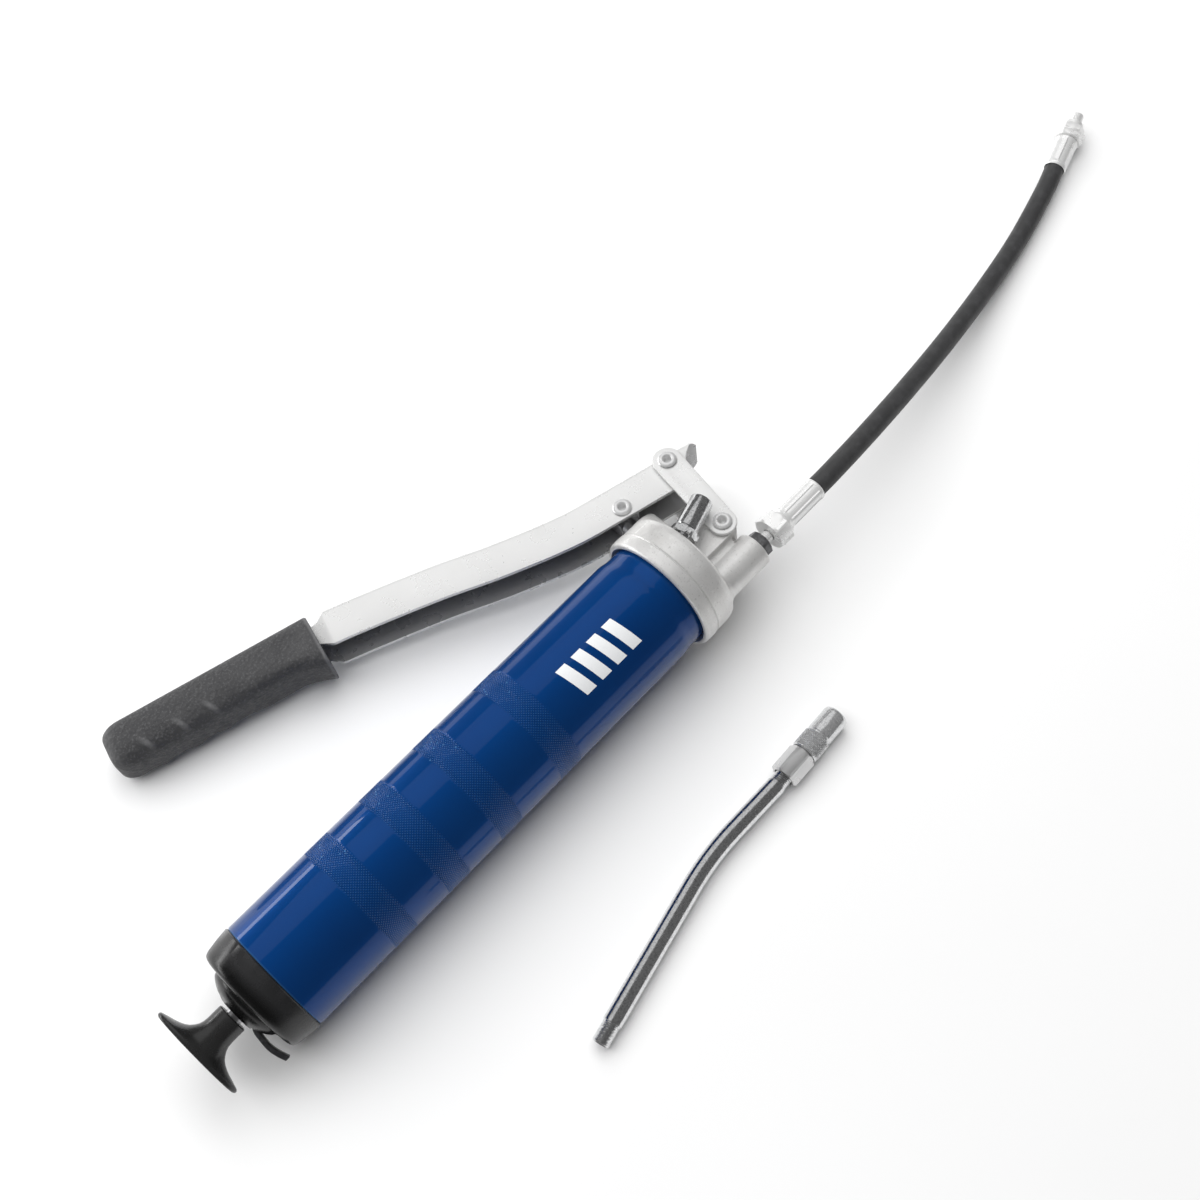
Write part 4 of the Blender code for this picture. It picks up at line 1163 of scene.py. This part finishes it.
def pipe():
    line = pipe_line()
    total = [0.0]
    for a, b in zip(line, line[1:]):
        total.append(total[-1] + (b - a).length)
    pitch, depth = 0.0009, 0.00038
    free_thread, coupler_thread = 0.0098, 0.0118
    sides = 72
    sections = []
    for i, centre in enumerate(line):
        ahead = (line[min(i + 1, len(line) - 1)] - line[max(i - 1, 0)]).normalized()
        side = Vector((-ahead.y, ahead.x, 0)).normalized()
        up = ahead.cross(side)
        s, back = total[i], total[-1] - total[i]
        cutting = min(1.0, s / 0.0008, max(0.0, free_thread - s) / 0.0008)
        trim = 0.0
        if back < coupler_thread:
            cutting = min(1.0, (coupler_thread - back) / 0.0008)
            trim = 0.0003
        ease = 0.0005 * max(0.0, 1 - s / 0.0006) + 0.0004 * (s < free_thread)
        loop = []
        for k, a in enumerate(all_round(sides)):
            turn = (s / pitch - k / sides) % 1.0
            r = PIPE_R - ease - trim - cutting * depth * thread_profile(turn)
            loop.append(centre + r * (math.cos(a) * side + math.sin(a) * up))
        sections.append(loop)
    tube = loft("rigid_pipe", sections)
    cut(tube, rod("bore", PIPE_END + PIPE_AWAY * 0.005, PIPE_END - PIPE_AWAY * 0.030, 0.0028),
        rod("bore", PIPE_INSIDE - HEADING * 0.02, PIPE_INSIDE + HEADING * 0.005, 0.0019, 32))
    finish(tube, CHROME, "pipe", "extension_pipe", TABLE, 50)


def coupler():
    corner = 0.0070
    body = turned(
        "coupler_hex",
        [(0.0, PIPE_R + GAP), (0.0, corner - 0.0010), (0.0007, corner), (0.0138, corner),
         (0.0146, corner - 0.0010), (0.0146, 0.0050), (0.0226, 0.0050), (0.0230, 0.0046), (0.0230, 0.0040),
         (0.0150, 0.0040), (0.0150, 0.0020), (0.0085, 0.0020), (0.0085, PIPE_R + GAP)],
        144,
        hex_shape(0.0, 0.0146, corner),
    )
    finish(body, NICKEL, "pipe", "coupler_body", COUPLER)
    outline = [(0.0150, 0.0053), (0.0150, 0.0062), (0.0154, 0.0065)]
    outline += fine([(0.0156, 0.0066), (0.0248, 0.0066)], 0.00022)
    outline += [(0.0250, 0.0062), (0.0254, 0.0059), (0.0260, 0.0059), (0.0264, 0.0063), (0.0380, 0.0063),
                (0.0392, 0.0059), (0.0397, 0.0054), (0.0397, 0.0041), (0.0393, 0.0037), (0.0378, 0.0037),
                (0.0355, 0.0053)]
    diamonds = knurl(0.0156, 0.0248, 0.0065, around=28, depth=0.00045, ease_over=0.0005)
    sleeve = turned("coupler_tube", outline, 288, diamonds)
    finish(sleeve, BRIGHT_CHROME, "sleeve", "coupler_sleeve", COUPLER)


# ---------------------------------------------------------------- pieces kept from the CAD


def spring():
    """The follower's spring, kept in its CAD shape on a mesh of its own; the real one shortens as the
    handle is pulled out.
    """
    mesh = nodes["follower_spring"].data.copy()
    mesh.name = "spring"
    obj = bpy.data.objects.new("spring", mesh)
    bpy.context.scene.collection.objects.link(obj)
    finish(obj, STEEL, "gun", "follower_spring", ROW)
    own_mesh(obj)


def dress_inner_parts():
    """The hidden pieces keep their CAD shape and get the finish of their metal or rubber."""
    looks = (
        (STEEL, ("follower_nut", "check_ball", "check_spring", "filler_ball",
                 "coupler_jaws", "coupler_spring")),
        (RUBBER, ("follower_cup", "head_gasket", "plunger_seal", "coupler_seal")),
        (ZINC, ("follower_back_plate", "follower_front_plate")),
    )
    for material, names in looks:
        for name in names:
            nodes[name].data.materials.clear()
            nodes[name].data.materials.append(material)


barrel()
barrel_mark()
end_cap()
tee_handle()
rod_latch()
follower_rod()
head()
filler_fitting()
adapter()
hose_fitting()
link()
lever()
grip()
plunger()
pipe()
coupler()
spring()
dress_inner_parts()

# ---------------------------------------------------------------- studio


def floor():
    bm = bmesh.new()
    half = 3.0
    corners = ((-half, -half), (half, -half), (half, half), (-half, half))
    bm.faces.new([bm.verts.new((x, y, -0.0001)) for x, y in corners])
    plane = mesh_object("floor", bm)
    look = Look("floor", (0.90, 0.90, 0.90), 0.0, 0.7)
    look.paint(look.ramp(look.noise(3, 3), 0.3, 0.7), (0.88, 0.88, 0.88))
    plane.data.materials.append(look.material)


def softbox(name, place, aim, size, brightness, reflected=True):
    """A flat lamp of that radiance; one that isn't reflected only lights what it falls on."""
    data = bpy.data.lights.new(name, "AREA")
    data.shape = "RECTANGLE"
    data.size, data.size_y = size
    data.energy = brightness * math.pi * size[0] * size[1]
    lamp = bpy.data.objects.new(name, data)
    lamp.location = place
    lamp.rotation_euler = (Vector(aim) - Vector(place)).to_track_quat("-Z", "Y").to_euler()
    lamp.visible_glossy = reflected
    bpy.context.scene.collection.objects.link(lamp)


def studio():
    world = bpy.data.worlds.new("studio")
    world.use_nodes = True
    background = world.node_tree.nodes["Background"]
    background.inputs["Color"].default_value = (1, 1, 1, 1)
    background.inputs["Strength"].default_value = 0.13
    bpy.context.scene.world = world
    middle = (0.05, 0.0, 0.0)
    softbox("key", (0.45, 0.80, 1.25), middle, (1.7, 1.3), 0.52)
    softbox("strip", (-0.70, 1.45, 0.19), middle, (1.7, 0.26), 6.0)
    softbox("sky", (0.0, 0.75, 1.85), middle, (3.2, 2.8), 2.6, reflected=False)
    bpy.context.scene.view_settings.view_transform = "Standard"


floor()
studio()
